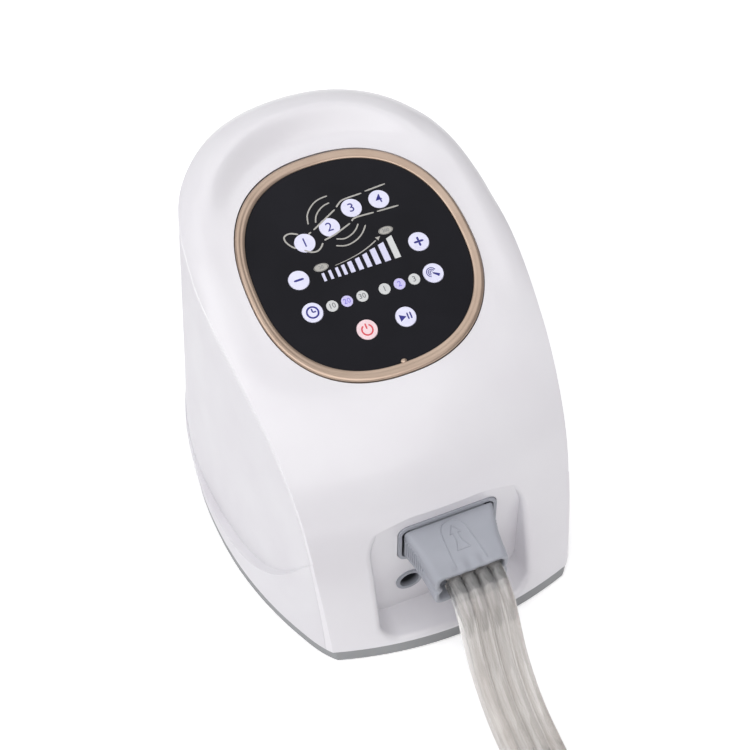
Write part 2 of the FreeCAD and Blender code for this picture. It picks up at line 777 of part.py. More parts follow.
def board_rails():
    """Pairs of grooved posts that hold the two upright boards and the distributor's bracket."""
    made = []
    floor = size("tray_z") + size("tray_floor")
    for y, half in ((size("board_y"), size("board_half")), (size("supply_y"), size("supply_half"))):
        for side in (-1, 1):
            post = Part.makeBox(6, 7.6, 26, Vector(side * half - 3, y - 3, floor))
            edge_x = min(side * (half + 0.3), side * (half - 3.1))
            groove = Part.makeBox(3.4, size("board_thick") + 0.2, 30,
                                  Vector(edge_x, y - 0.1, size("board_low")))
            made.append(post.cut(groove))
    return made


def foot_places():
    """Middles of the four feet."""
    return [(side * size("foot_x"), y) for side in (-1, 1) for y in (size("foot_front"), size("foot_back"))]


def make_feet() -> None:
    """Four rubber feet in their seats."""
    height = size("tray_z") + size("foot_deep")
    feet = [Part.makeCylinder(size("foot_r"), height, Vector(x, y, 0)) for x, y in foot_places()]
    group("rubber_feet", [f.makeChamfer(0.5, [f.Edges[2]]) for f in feet])


# --- control panel --------------------------------------------------------------------------


def window(across: float, up: float, radius: float, grow: float):
    """A round hole or lens through the glass at a place on the panel."""
    post = Part.makeCylinder(radius + grow, 20, Vector(0, 0, -10))
    post.Placement = panel_frame(across, up)
    return post


def bar_prism(index: int, grow: float):
    """One of the rising level bars with its slanted top as a prism."""
    left, right, tall_left, tall_right = BARS[index]
    corners = [Vector(left - grow, -grow, -10), Vector(right + grow, -grow, -10),
               Vector(right + grow, tall_right + grow, -10), Vector(left - grow, tall_left + grow, -10)]
    bar = Part.Face(Part.makePolygon(corners + corners[:1])).extrude(Vector(0, 0, 20))
    bar.Placement = panel_frame(0, BAR_FOOT)
    return bar


def make_panel() -> None:
    """Ring, glass, windows, keys, carrier, key board and what is on it."""
    frame = panel_frame()
    drop, thick, gap = size("glass_drop"), size("glass_thick"), size("key_gap")
    ring = outline_prism(outer_outline()).cut(outline_prism(inner_outline()))
    ring = ring.common(panel_layer(-size("bezel_depth"), size("bezel_proud")))
    solid("bezel_ring", ring, frame)

    layer = panel_layer(-drop - thick, -drop)
    plate = outline_prism(inner_outline(-gap)).common(layer)
    plate.Placement = frame
    glass_layer = panel_layer(-drop - thick, -drop)
    glass_layer.Placement = frame
    lens_gap = size("lens_gap")
    for across, up in KEYS.values():
        plate = plate.cut(window(across, up, size("key_r"), gap))
    for across, up in ZONES:
        plate = plate.cut(window(across, up, size("key_r"), lens_gap))
    for across, up in TIMES + MODES:
        plate = plate.cut(window(across, up, size("lamp_r"), lens_gap))
    for index in range(len(BARS)):
        plate = plate.cut(bar_prism(index, lens_gap))
    solid("panel_glass", plate)
    lens = {
        "zone_lenses": [window(x, up, size("key_r"), 0) for x, up in ZONES],
        "time_lenses": [window(x, up, size("lamp_r"), 0) for x, up in TIMES],
        "mode_lenses": [window(x, up, size("lamp_r"), 0) for x, up in MODES],
        "level_lenses": [bar_prism(index, 0) for index in range(len(BARS))],
    }
    for label, shapes in lens.items():
        group(label, [s.common(glass_layer) for s in shapes])
    make_keys()
    make_carrier(frame)


def make_keys() -> None:
    """Six key caps, each a disc flush with the glass on a stem with a flange below it."""
    drop, thick, tall = size("glass_drop"), size("glass_thick"), size("key_tall")
    for label, (across, up) in KEYS.items():
        cap = Part.makeCylinder(size("key_r"), thick + 0.3, Vector(0, 0, -drop - thick - 0.3))
        cap = cap.makeFillet(0.35, [cap.Edges[0]])
        flange = Part.makeCylinder(size("key_r") + 1.2, 1, Vector(0, 0, -drop - thick - 1.3))
        stem = Part.makeCylinder(2, tall - thick - 1.3, Vector(0, 0, -drop - tall))
        solid(label, cap.fuse([flange, stem]).removeSplitter(), panel_frame(across, up))


def carrier_posts():
    """Screw posts of the panel carrier, in the panel's frame."""
    return [(side * 46, up) for side in (-1, 1) for up in (-8, 50)]


def ring_room(frame, gap: float):
    """The ring round the glass grown by a gap."""
    room = outline_prism(outer_outline(gap)).cut(outline_prism(inner_outline(-gap)))
    room = room.common(panel_layer(-size("bezel_depth") - gap, size("bezel_proud")))
    room.Placement = frame
    return room


def make_carrier(frame) -> None:
    """Plastic carrier under the glass, the key board, its switches and lamps."""
    drop, thick, deep = size("glass_drop"), size("glass_thick"), size("carrier_deep")
    wall = size("cover_wall") + size("seam")
    seam = size("seam")
    flange = outline_prism(outer_outline(size("carrier_flange"))).cut(outline_prism(outer_outline(-0.5)))
    flange = flange.common(panel_layer(-wall - 2.6, -wall))
    rim_part = outline_prism(outer_outline(1.5)).cut(outline_prism(inner_outline(-1.2)))
    rim_part = rim_part.common(panel_layer(-wall - 6, -size("bezel_depth") - seam))
    seat = outline_prism(inner_outline(-0.3)).cut(outline_prism(inner_outline(-3)))
    seat = seat.common(panel_layer(-wall - 3, -drop - thick - seam))
    skirt = outline_prism(outer_outline(1.5)).cut(outline_prism(outer_outline(-0.7)))
    low = Part.makeBox(240, 240, deep + 4, Vector(-120, -110, -deep - 4))
    skirt = skirt.common(low).common(panel_layer(-40, -wall - 2))
    body = flange.fuse([rim_part, seat, skirt]).removeSplitter()
    board = outline_prism(inner_outline(-4), -deep - size("board_thick"), -deep)
    under_glass = panel_layer(-60, -drop - thick - seam)
    for x, y in carrier_posts():
        post = Part.makeBox(8, 8, deep - 5.6, Vector(x - 4, y - 4, -deep))
        arm = Part.makeBox(18, 8, 3, Vector(x - 4 if x > 0 else x - 14, y - 4, -wall - 6))
        arm = arm.common(outline_prism(outer_outline()))
        body = body.fuse([post.common(under_glass), arm.common(under_glass)])
        pilot = Part.makeCylinder(1.05, 8, Vector(x, y, -deep - 2))
        body = body.cut(pilot)
        board = board.cut(pilot)
    body.Placement = frame
    body = body.common(front_solid(wall)).cut(ring_room(frame, seam))
    solid("panel_carrier", max(body.Solids, key=lambda s: s.Volume))
    solid("key_board", board, frame)
    switches = []
    top = -drop - size("key_tall") - size("key_travel") - 0.8
    for across, up in KEYS.values():
        switch = Part.makeBox(6, 6, deep + top, Vector(across - 3, up - 3, -deep))
        switches.append(switch)
    group("key_switches", switches, frame)
    lamps = []
    for across, up in ZONES + TIMES + MODES:
        lamps.append(Part.makeBox(3.2, 2.8, 1.9, Vector(across - 1.6, up - 1.4, -deep)))
    group("panel_lamps", lamps, frame)
    under = -drop - thick - 1.7
    guide = outline_prism(inner_outline(-size("guide_inset"))).common(panel_layer(under, under + 1))
    for across, up in KEYS.values():
        guide = guide.cut(Part.makeCylinder(size("key_r") + 1.8, 20, Vector(across, up, -deep - 5)))
    for x, y in carrier_posts():
        guide = guide.cut(Part.makeBox(20, 10, 20, Vector(x - 5 if x > 0 else x - 15, y - 5, -deep - 5)))
    posts = []
    for x, y in ((-28, 62), (28, 64), (0, -38), (-50, 30), (50, 30)):
        post = Part.makeCylinder(2, deep, Vector(x, y, -deep + seam))
        posts.append(post.common(panel_layer(-40, under + 0.5)))
    solid("light_spreader", guide.fuse(posts).removeSplitter(), frame)


# --- socket, plug and hose ------------------------------------------------------------------


def tube_places():
    """Middles of the air tubes, across and in height from the socket's middle."""
    pitch, columns, rows = size("tube_pitch"), int(size("tube_columns")), int(size("tube_rows"))
    across = [size("socket_x") + (c - (columns - 1) / 2) * pitch for c in range(columns)]
    heights = [(r - (rows - 1) / 2) * pitch for r in range(rows)]
    return [(x, z) for z in heights for x in across]


def make_socket() -> None:
    """Grey socket with its nipples, and the ring of the spare port."""
    back, front = size("niche_back") + size("socket_deep"), size("niche_back") - size("frame_lip")
    half, high = size("socket_half"), size("socket_high")
    block = socket_block_box()
    middle = size("socket_x")
    corner = Vector(middle - half, front, size("socket_z") - high / 2)
    mouth = Part.makeBox(2 * half, back - 3 - front, high, corner)
    along = [e for e in mouth.Edges if abs((e.Vertexes[1].Point - e.Vertexes[0].Point).y) > 1]
    mouth = mouth.makeFillet(4.5, along)
    body = block.cut(mouth)
    flange = Part.makeBox(2 * half + 14, 2, high + 12,
                          Vector(middle - half - 7, size("niche_back") + size("cover_wall") + 0.1,
                                 size("socket_z") - high / 2 - 6))
    body = body.fuse(flange.cut(mouth))
    for x, z in tube_places():
        foot = Vector(x, back - 14, size("socket_z") + z)
        body = body.fuse(Part.makeCylinder(size("nipple_d") / 2, 22, foot, Y_AXIS))
    for x, z in tube_places():
        foot = Vector(x, back - 15, size("socket_z") + z)
        body = body.cut(Part.makeCylinder(size("nipple_d") / 2 - 1, 25, foot, Y_AXIS))
    solid("hose_socket", body.removeSplitter())
    corner = Vector(middle + 5 - half, back - 4.3, size("socket_z") - high / 2 + 3)
    gasket = Part.makeBox(2 * half - 10, 1.3, high - 6, corner)
    for x, z in tube_places():
        foot = Vector(x, back - 6, size("socket_z") + z)
        gasket = gasket.cut(Part.makeCylinder(size("nipple_d") / 2 + 0.3, 4, foot, Y_AXIS))
    solid("socket_gasket", gasket)
    wall_back = size("niche_back") + size("cover_wall")
    ring = port_cylinder(size("port_ring"), size("niche_back") - 1, size("niche_back"))
    ring = ring.fuse(port_cylinder(size("port_bore") + 1.3, size("niche_back") - 1, wall_back + 14))
    ring = ring.cut(port_cylinder(size("port_bore"), size("niche_back") - 2, wall_back + 12))
    nut = port_cylinder(size("port_ring") + 1, wall_back, wall_back + 3)
    ring = ring.fuse(nut.cut(port_cylinder(size("port_bore"), wall_back - 1, wall_back + 4)))
    solid("spare_port", ring.removeSplitter())


def plug_body():
    """The plug's tapered grip with its scalloped tube end and the insert that goes into the socket."""
    face = size("niche_back") - size("frame_lip") - 0.4
    wide, narrow = size("plug_back_half"), size("plug_end_half")
    high, long = size("plug_high"), size("plug_long")
    x, z = size("socket_x"), size("socket_z")

    def section(y, half, tall):
        corner = 3.2
        points = [Vector(x - half, y, z - tall / 2), Vector(x + half, y, z - tall / 2),
                  Vector(x + half, y, z + tall / 2), Vector(x - half, y, z + tall / 2)]
        wire = Part.makePolygon(points + points[:1])
        block = Part.Face(wire).extrude(Vector(0, -1, 0))
        along = [e for e in block.Edges if abs((e.Vertexes[1].Point - e.Vertexes[0].Point).y) > 0.5]
        block = block.makeFillet(corner, along)
        outer = max(block.Faces, key=lambda f: f.CenterOfMass.y)
        return outer.OuterWire

    grip = Part.makeLoft([section(face, wide, high), section(face - long, narrow, high)], True, True)
    insert_half, insert_high = size("socket_half") - 3.6, size("socket_high") - 4.4
    insert = Part.makeBox(2 * insert_half, size("plug_deep"), insert_high,
                          Vector(x - insert_half, face, z - insert_high / 2))
    along = [e for e in insert.Edges if abs((e.Vertexes[1].Point - e.Vertexes[0].Point).y) > 1]
    insert = insert.makeFillet(3, along)
    body = grip.fuse(insert)
    for place, dz in tube_places():
        foot = Vector(place, face + size("plug_deep") - 14, z + dz)
        body = body.cut(Part.makeCylinder(size("plug_bore") / 2, 15, foot, Y_AXIS))
        foot = Vector(place, face - long - 1, z + dz)
        bore = Part.makeCylinder(size("tube_d") / 2 + 0.15, 9, foot, Y_AXIS)
        body = body.cut(bore)
    half, tall = hose_wide() / 2 + size("seam"), hose_thick() + 2 * size("seam")
    start = HOSE[0][0] + size("seam")
    corner = Vector(x - half, face - long - 1, z - tall / 2)
    pocket = Part.makeBox(2 * half, start - face + long + 1, tall, corner)
    return body.cut(pocket)


def make_plug() -> None:
    """Plug, the barbs that hold the tubes in it and the seals round the nipples."""
    solid("hose_plug", plug_body().removeSplitter())
    face = size("niche_back") - size("frame_lip") - 0.4
    z = size("socket_z")
    end = face - size("plug_long")
    barbs = []
    for x, dz in tube_places():
        rod_part = Part.makeCylinder(1.9, 5.4, Vector(x, end + 2.6, z + dz), Y_AXIS)
        barbs.append(rod_part.cut(Part.makeCylinder(1.2, 7, Vector(x, end + 1, z + dz), Y_AXIS)))
    group("plug_barbs", barbs)


def rounded_path(points):
    """Straight runs joined by tangent arcs, each as large as its two runs allow."""
    edges = []
    here = points[0]
    for before, corner, after in zip(points, points[1:], points[2:]):
        back, on = before - corner, after - corner
        reach = 0.45 * min(back.Length, on.Length)
        turn = math.pi - back.getAngle(on)
        radius = reach / math.tan(turn / 2)
        start = corner + back.normalize() * reach
        end = corner + on.normalize() * reach
        bisector = (back.normalize() + on.normalize()).normalize()
        middle = corner + bisector * (radius / math.cos(turn / 2) - radius)
        edges.append(Part.LineSegment(here, start).toShape())
        edges.append(Part.Arc(start, middle, end).toShape())
        here = end
    edges.append(Part.LineSegment(here, points[-1]).toShape())
    return Part.Wire(edges)


def hose_wide() -> float:
    """Width of the flat bundle of tubes."""
    return size("tube_pitch") * (size("tube_columns") - 1) + size("tube_d")


def hose_thick() -> float:
    """Thickness of the bundle."""
    return size("tube_pitch") * (size("tube_rows") - 1) + size("tube_d")


def make_hose() -> None:
    """The eight tubes as one flat bundle down to the table, and the coil of the rest."""
    route = [Vector(size("socket_x"), y, z) for y, z in HOSE]
    path = rounded_path(route)
    wide, thick = hose_wide(), hose_thick()
    start = route[0]
    low = Vector(start.x - wide / 2, start.y, start.z - thick / 2)
    corners = [low, low + Vector(wide, 0, 0), low + Vector(wide, 0, thick), low + Vector(0, 0, thick)]
    section = Part.makePolygon(corners + corners[:1])
    solid("hose_run", path.makePipeShell([section], True, False))
    centre = Vector(size("coil_x"), size("coil_y"), size("coil_z"))
    ring = Part.makeCylinder(size("coil_outer"), size("coil_high"), centre)
    ring = ring.cut(Part.makeCylinder(size("coil_inner"), size("coil_high"), centre))
    solid("hose_coil", ring)


def make_hose_ends() -> None:
    """The connector for the garment inside the coil, and the tie round the coil."""
    x, y = size("coil_x"), size("coil_y")
    long, thick, high = size("far_long"), size("far_thick"), size("far_high")
    corner = 3
    inside = size("coil_inner") - size("seam") - corner
    outer = corner + math.sqrt(inside**2 - (long / 2 - corner) ** 2)
    block = Part.makeBox(long, thick, high, Vector(x - long / 2, y + outer - thick, 0))
    solid("garment_plug", block.makeFillet(corner, block.Edges))
    wide, film = size("tie_wide"), size("tie_thick")
    near, far = size("coil_inner") - 1.2, size("coil_outer") + 0.4
    bottom, top = size("coil_z") - 0.2, size("coil_z") + size("coil_high") + 0.3
    band = Part.makeBox(wide, far - near + 2 * film, top - bottom + 2 * film,
                        Vector(x - wide / 2, y - far - film, bottom - film))
    hole = Part.makeBox(wide, far - near, top - bottom, Vector(x - wide / 2, y - far, bottom))
    solid("hose_tie", band.cut(hole))


# --- inside ---------------------------------------------------------------------------------


def compound(label: str, items):
    """A sub-part made of several objects that stay separate solids."""
    item = doc.addObject("Part::Compound", label)
    item.Links = items
    return part(item, label)


def pair(name: str, make):
    """The same object on the left and on the right, from a function of its name and its side."""
    return [make(f"{name}_left", "-1"), make(f"{name}_right", "1")]


def make_pump() -> None:
    """Diaphragm pump: frame, coils, armature, diaphragms, heads and rubber mounts."""
    low = "(pump_z - pump_side / 2)"
    out = "(pump_frame_half + pump_plate)"
    base = box("pump_floor", (f"-{out}", "pump_y - pump_side / 2", low), (f"2 * {out}", "pump_side", "3"))
    plates = []
    for name, foot in (("left", f"-{out}"), ("right", "pump_frame_half")):
        plate = box(f"plate_{name}", (foot, "pump_y - pump_side / 2", low),
                    ("pump_plate", "pump_side", "pump_side"))
        hole = rod(f"plate_hole_{name}", (foot, "pump_y", "pump_z"), "pump_head_r - 6", "pump_plate", "x")
        plates.append(cut(f"end_plate_{name}", plate, [hole]))
    part(joined("pump_frame", [base, *plates]), "pump_frame")

    def coil(name, side):
        high = "pump_side - 12"
        middle = f"pump_y + {side} * 27"
        return box(name, ("-24", f"{middle} - 9", f"{low} + 3"), ("48", "18", high))

    compound("pump_coils", pair("coil", coil))
    reach = f"({out} + diaphragm_thick + 1)"
    shaft = rod("shaft", (f"-{reach}", "pump_y", "pump_z"), "4", f"2 * {reach}", "x")
    magnet = box("magnet", ("-20", "pump_y - 12", "pump_z - 20"), ("40", "24", "40"))
    discs = [
        rod("disc_left", (f"-{reach}", "pump_y", "pump_z"), "clamp_r", "diaphragm_thick + 1.4", "x"),
        rod("disc_right", (f"{reach} - diaphragm_thick - 1.4", "pump_y", "pump_z"), "clamp_r",
            "diaphragm_thick + 1.4", "x"),
    ]
    part(joined("pump_armature", [shaft, magnet, *discs]), "pump_armature")

    def diaphragm(name, side):
        foot = f"{side} * ({out} + 0.1 + diaphragm_thick / 2) - diaphragm_thick / 2"
        middle = (foot, "pump_y", "pump_z")
        sheet_part = rod(f"{name}_sheet", middle, "pump_head_r - 1", "diaphragm_thick", "x")
        hole = rod(f"{name}_hole", middle, "clamp_r + 0.3", "diaphragm_thick", "x")
        return cut(name, sheet_part, [hole])

    compound("pump_diaphragms", pair("diaphragm", diaphragm))

    def head(name, side):
        foot = f"({out} + 0.2 + diaphragm_thick)"
        start = f"{side} * ({foot} + pump_head_long / 2) - pump_head_long / 2"
        drum = rod(f"{name}_drum", (start, "pump_y", "pump_z"), "pump_head_r", "pump_head_long", "x")
        spout_x = f"{side} * ({foot} + pump_head_long / 2)"
        spout = rod(f"{name}_spout", (spout_x, "pump_y", "pump_z + pump_head_r - 1"), "hose_in / 2", "13")
        room = f"{side} * ({foot} + (pump_head_long - 5) / 2) - (pump_head_long - 5) / 2"
        hollow = rod(f"{name}_hollow", (room, "pump_y", "pump_z"),
                     "pump_head_r - 5", "pump_head_long - 5", "x")
        return cut(name, joined(f"{name}_body", [drum, spout]), [hollow])

    compound("pump_heads", pair("head", head))
    floor = "(tray_z + tray_floor)"
    mounts = []
    for i, (x, y) in enumerate(((-40, -28), (40, -28), (-40, 28), (40, 28))):
        mounts.append(rod(f"mount_{i}", (str(x), f"pump_y + {y}", floor), "mount_r", f"{low} - {floor}"))
    compound("pump_mounts", mounts)


def make_distributor() -> None:
    """Rotary air distributor behind the socket: body, rotor, motor, bracket and short hoses."""
    back = "(valve_front + valve_deep)"
    middle = "socket_z"
    block = box("valve_block", ("-valve_half", "valve_front", f"{middle} - valve_high / 2"),
                ("2 * valve_half", "valve_deep", "valve_high"))
    spouts = [rod(f"inlet_spout_{i}", (f"{i} * 20", "valve_front + 10", f"{middle} + valve_high / 2 - 1"),
                  "hose_in / 2", "11") for i in (-1, 1)]
    for i, (x, dz) in enumerate(tube_places()):
        foot = (str(x), "valve_front - 8", f"{middle} + {dz}")
        spouts.append(rod(f"outlet_{i}", foot, "nipple_d / 2", "9", "y"))
    room = rod("rotor_room", ("0", f"{back} - rotor_thick - 1", middle),
               "rotor_r + 0.6", "rotor_thick + 1", "y")
    bearing = rod("bearing", ("0", f"{back} - rotor_thick - 7", middle), "axle_r + 0.3", "8", "y")
    bores = [rod(f"outlet_bore_{i}", (str(x), "valve_front - 9", f"{middle} + {dz}"),
                 "nipple_d / 2 - 1", "18", "y")
             for i, (x, dz) in enumerate(tube_places())]
    part(cut("valve_body", joined("valve_form", [block, *spouts]), [room, bearing, *bores]), "valve_body")
    disc = rod("disc", ("0", f"{back} - rotor_thick - 0.4", middle), "rotor_r", "rotor_thick - 0.6", "y")
    axle = rod("axle", ("0", f"{back} - rotor_thick - 6.5", middle), "axle_r", "rotor_thick + 12", "y")
    port = box("rotor_port", ("rotor_r - 6", f"{back} - rotor_thick - 0.4", f"{middle} - 2"),
                ("4", "rotor_thick - 0.6 - 2", "4"))
    part(cut("valve_rotor", joined("rotor_form", [disc, axle]), [port]), "valve_rotor")
    drum = rod("motor_drum", ("0", f"{back} + 2.1", middle), "motor_r", "motor_long", "y")
    ear = box("motor_ears", ("-motor_r - 8", f"{back} + 0.1", f"{middle} - 8"),
              ("2 * (motor_r + 8)", "2", "16"))
    bore = rod("motor_bore", ("0", f"{back}", middle), "axle_r + 0.3", "8", "y")
    part(cut("valve_motor", joined("motor_form", [drum, ear]), [bore]), "valve_motor")
    under = f"({middle} - valve_high / 2)"
    floor = "(tray_z + tray_floor)"
    legs = [box(f"leg_{i}", (f"{i} * 25 - 1.5", "valve_front + 2", floor),
                ("3", "valve_deep - 4", f"{under} - {floor}"))
            for i in (-1, 1)]
    deck = box("deck", ("-26.5", "valve_front + 2", f"{under} - 3"), ("53", "valve_deep - 4", "3"))
    feet = [box(f"leg_foot_{i}", (f"{i} * 25 - 7", "valve_front + 2", floor), ("14", "valve_deep - 4", "2.5"))
            for i in (-1, 1)]
    part(joined("valve_bracket", [*legs, deck, *feet]), "valve_bracket")
    hoses = []
    for i, (x, dz) in enumerate(tube_places()):
        start = "(niche_back + socket_deep + 0.2)"
        outer = rod(f"link_{i}", (str(x), start, f"{middle} + {dz}"), "3.6",
                    f"valve_front - 0.2 - {start}", "y")
        inner = rod(f"link_bore_{i}", (str(x), start, f"{middle} + {dz}"), "nipple_d / 2 + 0.1",
                    f"valve_front - 0.2 - {start}", "y")
        hoses.append(cut(f"link_hose_{i}", outer, [inner]))
    compound("socket_hoses", hoses)


def make_pump_hoses() -> None:
    """Two hoses from the pump heads over the pump to the distributor."""
    hoses = []
    head_x = size("pump_frame_half") + size("pump_plate") + 0.2 + size("diaphragm_thick")
    head_x += size("pump_head_long") / 2
    top = size("pump_z") + size("pump_head_r") + 2
    valve_top = size("socket_z") + size("valve_high") / 2
    y, valve_y = size("pump_y"), size("valve_front") + 10
    for side in (-1, 1):
        route = [Vector(side * head_x, y, top), Vector(side * head_x, y, top + 24),
                 Vector(side * (head_x - 8), y - 32, top + 30), Vector(side * 34, valve_y + 24, top + 26),
                 Vector(side * 20, valve_y, valve_top + 26), Vector(side * 20, valve_y, valve_top + 1)]
        path = rounded_path(route)
        made = []
        for radius in (size("hose_in") / 2 + 1.5, size("hose_in") / 2 + 0.05):
            ring = Part.Wire([Part.Circle(route[0], Z_AXIS, radius).toShape()])
            made.append(path.makePipeShell([ring], True, False))
        hoses.append(made[0].cut(made[1]))
    group("pump_hoses", hoses)


def make_electrics() -> None:
    """Control board, power supply, their parts and the mains inlet."""
    thick = "board_thick"
    part(box("control_board", ("-board_half + 0.1", "board_y", "board_low + 0.1"),
             ("2 * board_half - 0.2", thick, "board_high - board_low")), "control_board")
    back = f"(board_y + {thick})"
    compound("control_parts", [
        box("sensor", ("-38", back, "62"), ("14", "9", "12")),
        rod("buzzer", ("30", back, "70"), "6", "8", "y"),
        box("driver", ("-10", back, "40"), ("18", "11", "14")),
        box("plug_row", ("16", back, "78"), ("24", "8", "7")),
    ])
    part(box("supply_board", ("-supply_half + 0.1", "supply_y", "board_low + 0.1"),
             ("2 * supply_half - 0.2", thick, "supply_high - board_low")), "supply_board")
    rear = f"(supply_y + {thick})"
    compound("supply_parts", [
        box("transformer", ("-42", rear, "22"), ("26", "22", "28")),
        rod("capacitor", ("28", rear, "44"), "8", "20", "y"),
        rod("small_capacitor", ("30", rear, "26"), "5", "14", "y"),
    ])
    high = "inlet_high"
    shell = box("inlet_shell", ("-inlet_half", rear, f"inlet_z - {high} / 2"),
                ("2 * inlet_half", f"inlet_face - {rear}", high))
    room = box("inlet_room", ("-inlet_half + 2.5", "inlet_face - 14", f"inlet_z - {high} / 2 + 2.5"),
               ("2 * inlet_half - 5", "15", f"{high} - 5"))
    pins = [rod(f"pin_{i}", (f"{i} * 4.3", "inlet_face - 15", "inlet_z"), "1.2", "12", "y") for i in (-1, 1)]
    part(joined("mains_inlet", [cut("inlet_body", shell, [room]), *pins]), "mains_inlet")


def screw(place, length: float, radius: float, head: float, up=1):
    """A pan head screw whose head's seat is at a place, its shank going up or down from there."""
    shank = Part.makeCylinder(radius, length, place, Vector(0, 0, up))
    top = Part.makeCylinder(head, 1.2, place, Vector(0, 0, -up))
    return shank.fuse(top)


def make_screws() -> None:
    """Screws of the shells and of the key board."""
    case = [screw(Vector(x, y, size("tray_z") + 1.3), 11, size("screw_r") - 0.05, size("screw_head"))
            for x, y, _ in boss_places()]
    group("case_screws", case)
    deep = size("carrier_deep") + size("board_thick")
    small = [screw(Vector(x, y, -deep), 6, 1.0, 2.2) for x, y in carrier_posts()]
    group("board_screws", small, panel_frame())


def pieces_done() -> None:
    """Check every object and every sub-part before anything is written."""
    doc.recompute()
    for item in doc.Objects:
        if {"Invalid", "Error"} & set(item.State):
            raise RuntimeError(f"{item.Label} failed: {item.State}")
    for item in parts:
        if item.Shape.isNull() or not item.Shape.isValid() or not item.Shape.Solids:
            raise RuntimeError(f"{item.Label} has no valid shape")
    os.makedirs("parts", exist_ok=True)
    for item in parts:
        item.Shape.exportStep(f"parts/{item.Label}.step")
        low, high = item.Shape.BoundBox, item.Shape.Volume
        print(f"{item.Label:18s} solids {len(item.Shape.Solids):3d} volume {high:10.0f}"
              f" x {low.XMin:.1f}..{low.XMax:.1f} y {low.YMin:.1f}..{low.YMax:.1f}"
              f" z {low.ZMin:.1f}..{low.ZMax:.1f}")


fill_sheet()
make_shells()
make_tray()
make_feet()
make_panel()
make_socket()
make_plug()
make_hose()
make_hose_ends()
make_pump()
make_distributor()
make_pump_hoses()
make_electrics()
make_screws()
pieces_done()
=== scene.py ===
"""Compression therapy pump with its hose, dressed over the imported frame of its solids.

Metres, +Z up, the front with the hose socket looks along -Y.
"""

import logging
import math
from dataclasses import dataclass, field
from enum import Enum

import bmesh
import bpy
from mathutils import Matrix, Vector

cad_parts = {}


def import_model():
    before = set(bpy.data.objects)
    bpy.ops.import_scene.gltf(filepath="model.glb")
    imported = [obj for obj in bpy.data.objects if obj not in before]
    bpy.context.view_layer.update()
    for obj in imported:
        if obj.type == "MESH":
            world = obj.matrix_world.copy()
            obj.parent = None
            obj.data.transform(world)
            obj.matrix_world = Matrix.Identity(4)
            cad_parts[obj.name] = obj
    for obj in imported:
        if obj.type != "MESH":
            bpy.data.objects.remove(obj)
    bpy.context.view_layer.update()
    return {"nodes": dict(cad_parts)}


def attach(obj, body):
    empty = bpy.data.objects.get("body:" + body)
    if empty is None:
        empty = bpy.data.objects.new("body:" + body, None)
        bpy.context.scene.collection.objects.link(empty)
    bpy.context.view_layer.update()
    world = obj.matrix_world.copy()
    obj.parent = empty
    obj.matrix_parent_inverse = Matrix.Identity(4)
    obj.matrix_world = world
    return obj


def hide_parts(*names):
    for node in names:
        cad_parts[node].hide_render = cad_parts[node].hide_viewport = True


log = logging.getLogger("pump")

MM = 0.001
SHARP = 50  # degrees over which an edge of a lofted piece stays sharp
FIGURE = 0.69  # height of a figure in the built-in font at a size of 1

Pair = tuple[float, float]
Triple = tuple[float, float, float]
Face = tuple[int, ...]
Piece = bpy.types.Object
Tree = bpy.types.NodeTree
Socket = bpy.types.NodeSocket


# --- small helpers --------------------------------------------------------------------------


def shade(hex_code: str) -> tuple[float, float, float, float]:
    """Turn an sRGB hex value into linear red, green, blue and alpha.

    Args:
        hex_code: six hex digits.

    Returns:
        The linear colour with an alpha of 1.
    """
    parts = [int(hex_code[i:i + 2], 16) / 255 for i in (0, 2, 4)]
    line = [p / 12.92 if p <= 0.04045 else ((p + 0.055) / 1.055) ** 2.4 for p in parts]
    return line[0], line[1], line[2], 1.0


def add_node(tree: Tree, kind: str, settings: dict | None = None,
             links: dict | None = None) -> bpy.types.Node:
    """Add a shader node with its settings and its links.

    Args:
        tree: the material's node tree.
        kind: the node's type name after "ShaderNode".
        settings: property names, or input sockets given as "in:NAME", with their values.
        links: input socket names with the output sockets that feed them.

    Returns:
        The new node.
    """
    node = tree.nodes.new(f"ShaderNode{kind}")
    for name, value in (settings or {}).items():
        if name.startswith("in:"):
            key = name[3:]
            node.inputs[int(key) if key.isdigit() else key].default_value = value
        else:
            setattr(node, name, value)
    for name, source in (links or {}).items():
        tree.links.new(source, node.inputs[int(name) if name.isdigit() else name])
    return node


def deselect() -> None:
    """Leave nothing selected, so that an operator acts only on the new piece."""
    for piece in list(bpy.context.selected_objects):
        piece.select_set(False)


def take(piece: Piece) -> None:
    """Select one piece alone and make it active."""
    deselect()
    piece.select_set(True)
    bpy.context.view_layer.objects.active = piece


def mesh_piece(name: str, points: list[Vector], faces: list[Face]) -> Piece:
    """Make a piece from points in metres and faces.

    Args:
        name: the piece's name.
        points: its points.
        faces: its faces as indices of points.

    Returns:
        The linked object.
    """
    mesh = bpy.data.meshes.new(name)
    mesh.from_pydata(points, [], faces)
    mesh.validate()
    piece = bpy.data.objects.new(name, mesh)
    bpy.context.scene.collection.objects.link(piece)
    return piece


def face_outwards(piece: Piece) -> None:
    """Merge doubles and turn all faces of a closed piece outwards."""
    work = bmesh.new()
    work.from_mesh(piece.data)
    bmesh.ops.remove_doubles(work, verts=work.verts, dist=1e-6)
    bmesh.ops.recalc_face_normals(work, faces=work.faces)
    work.to_mesh(piece.data)
    work.free()


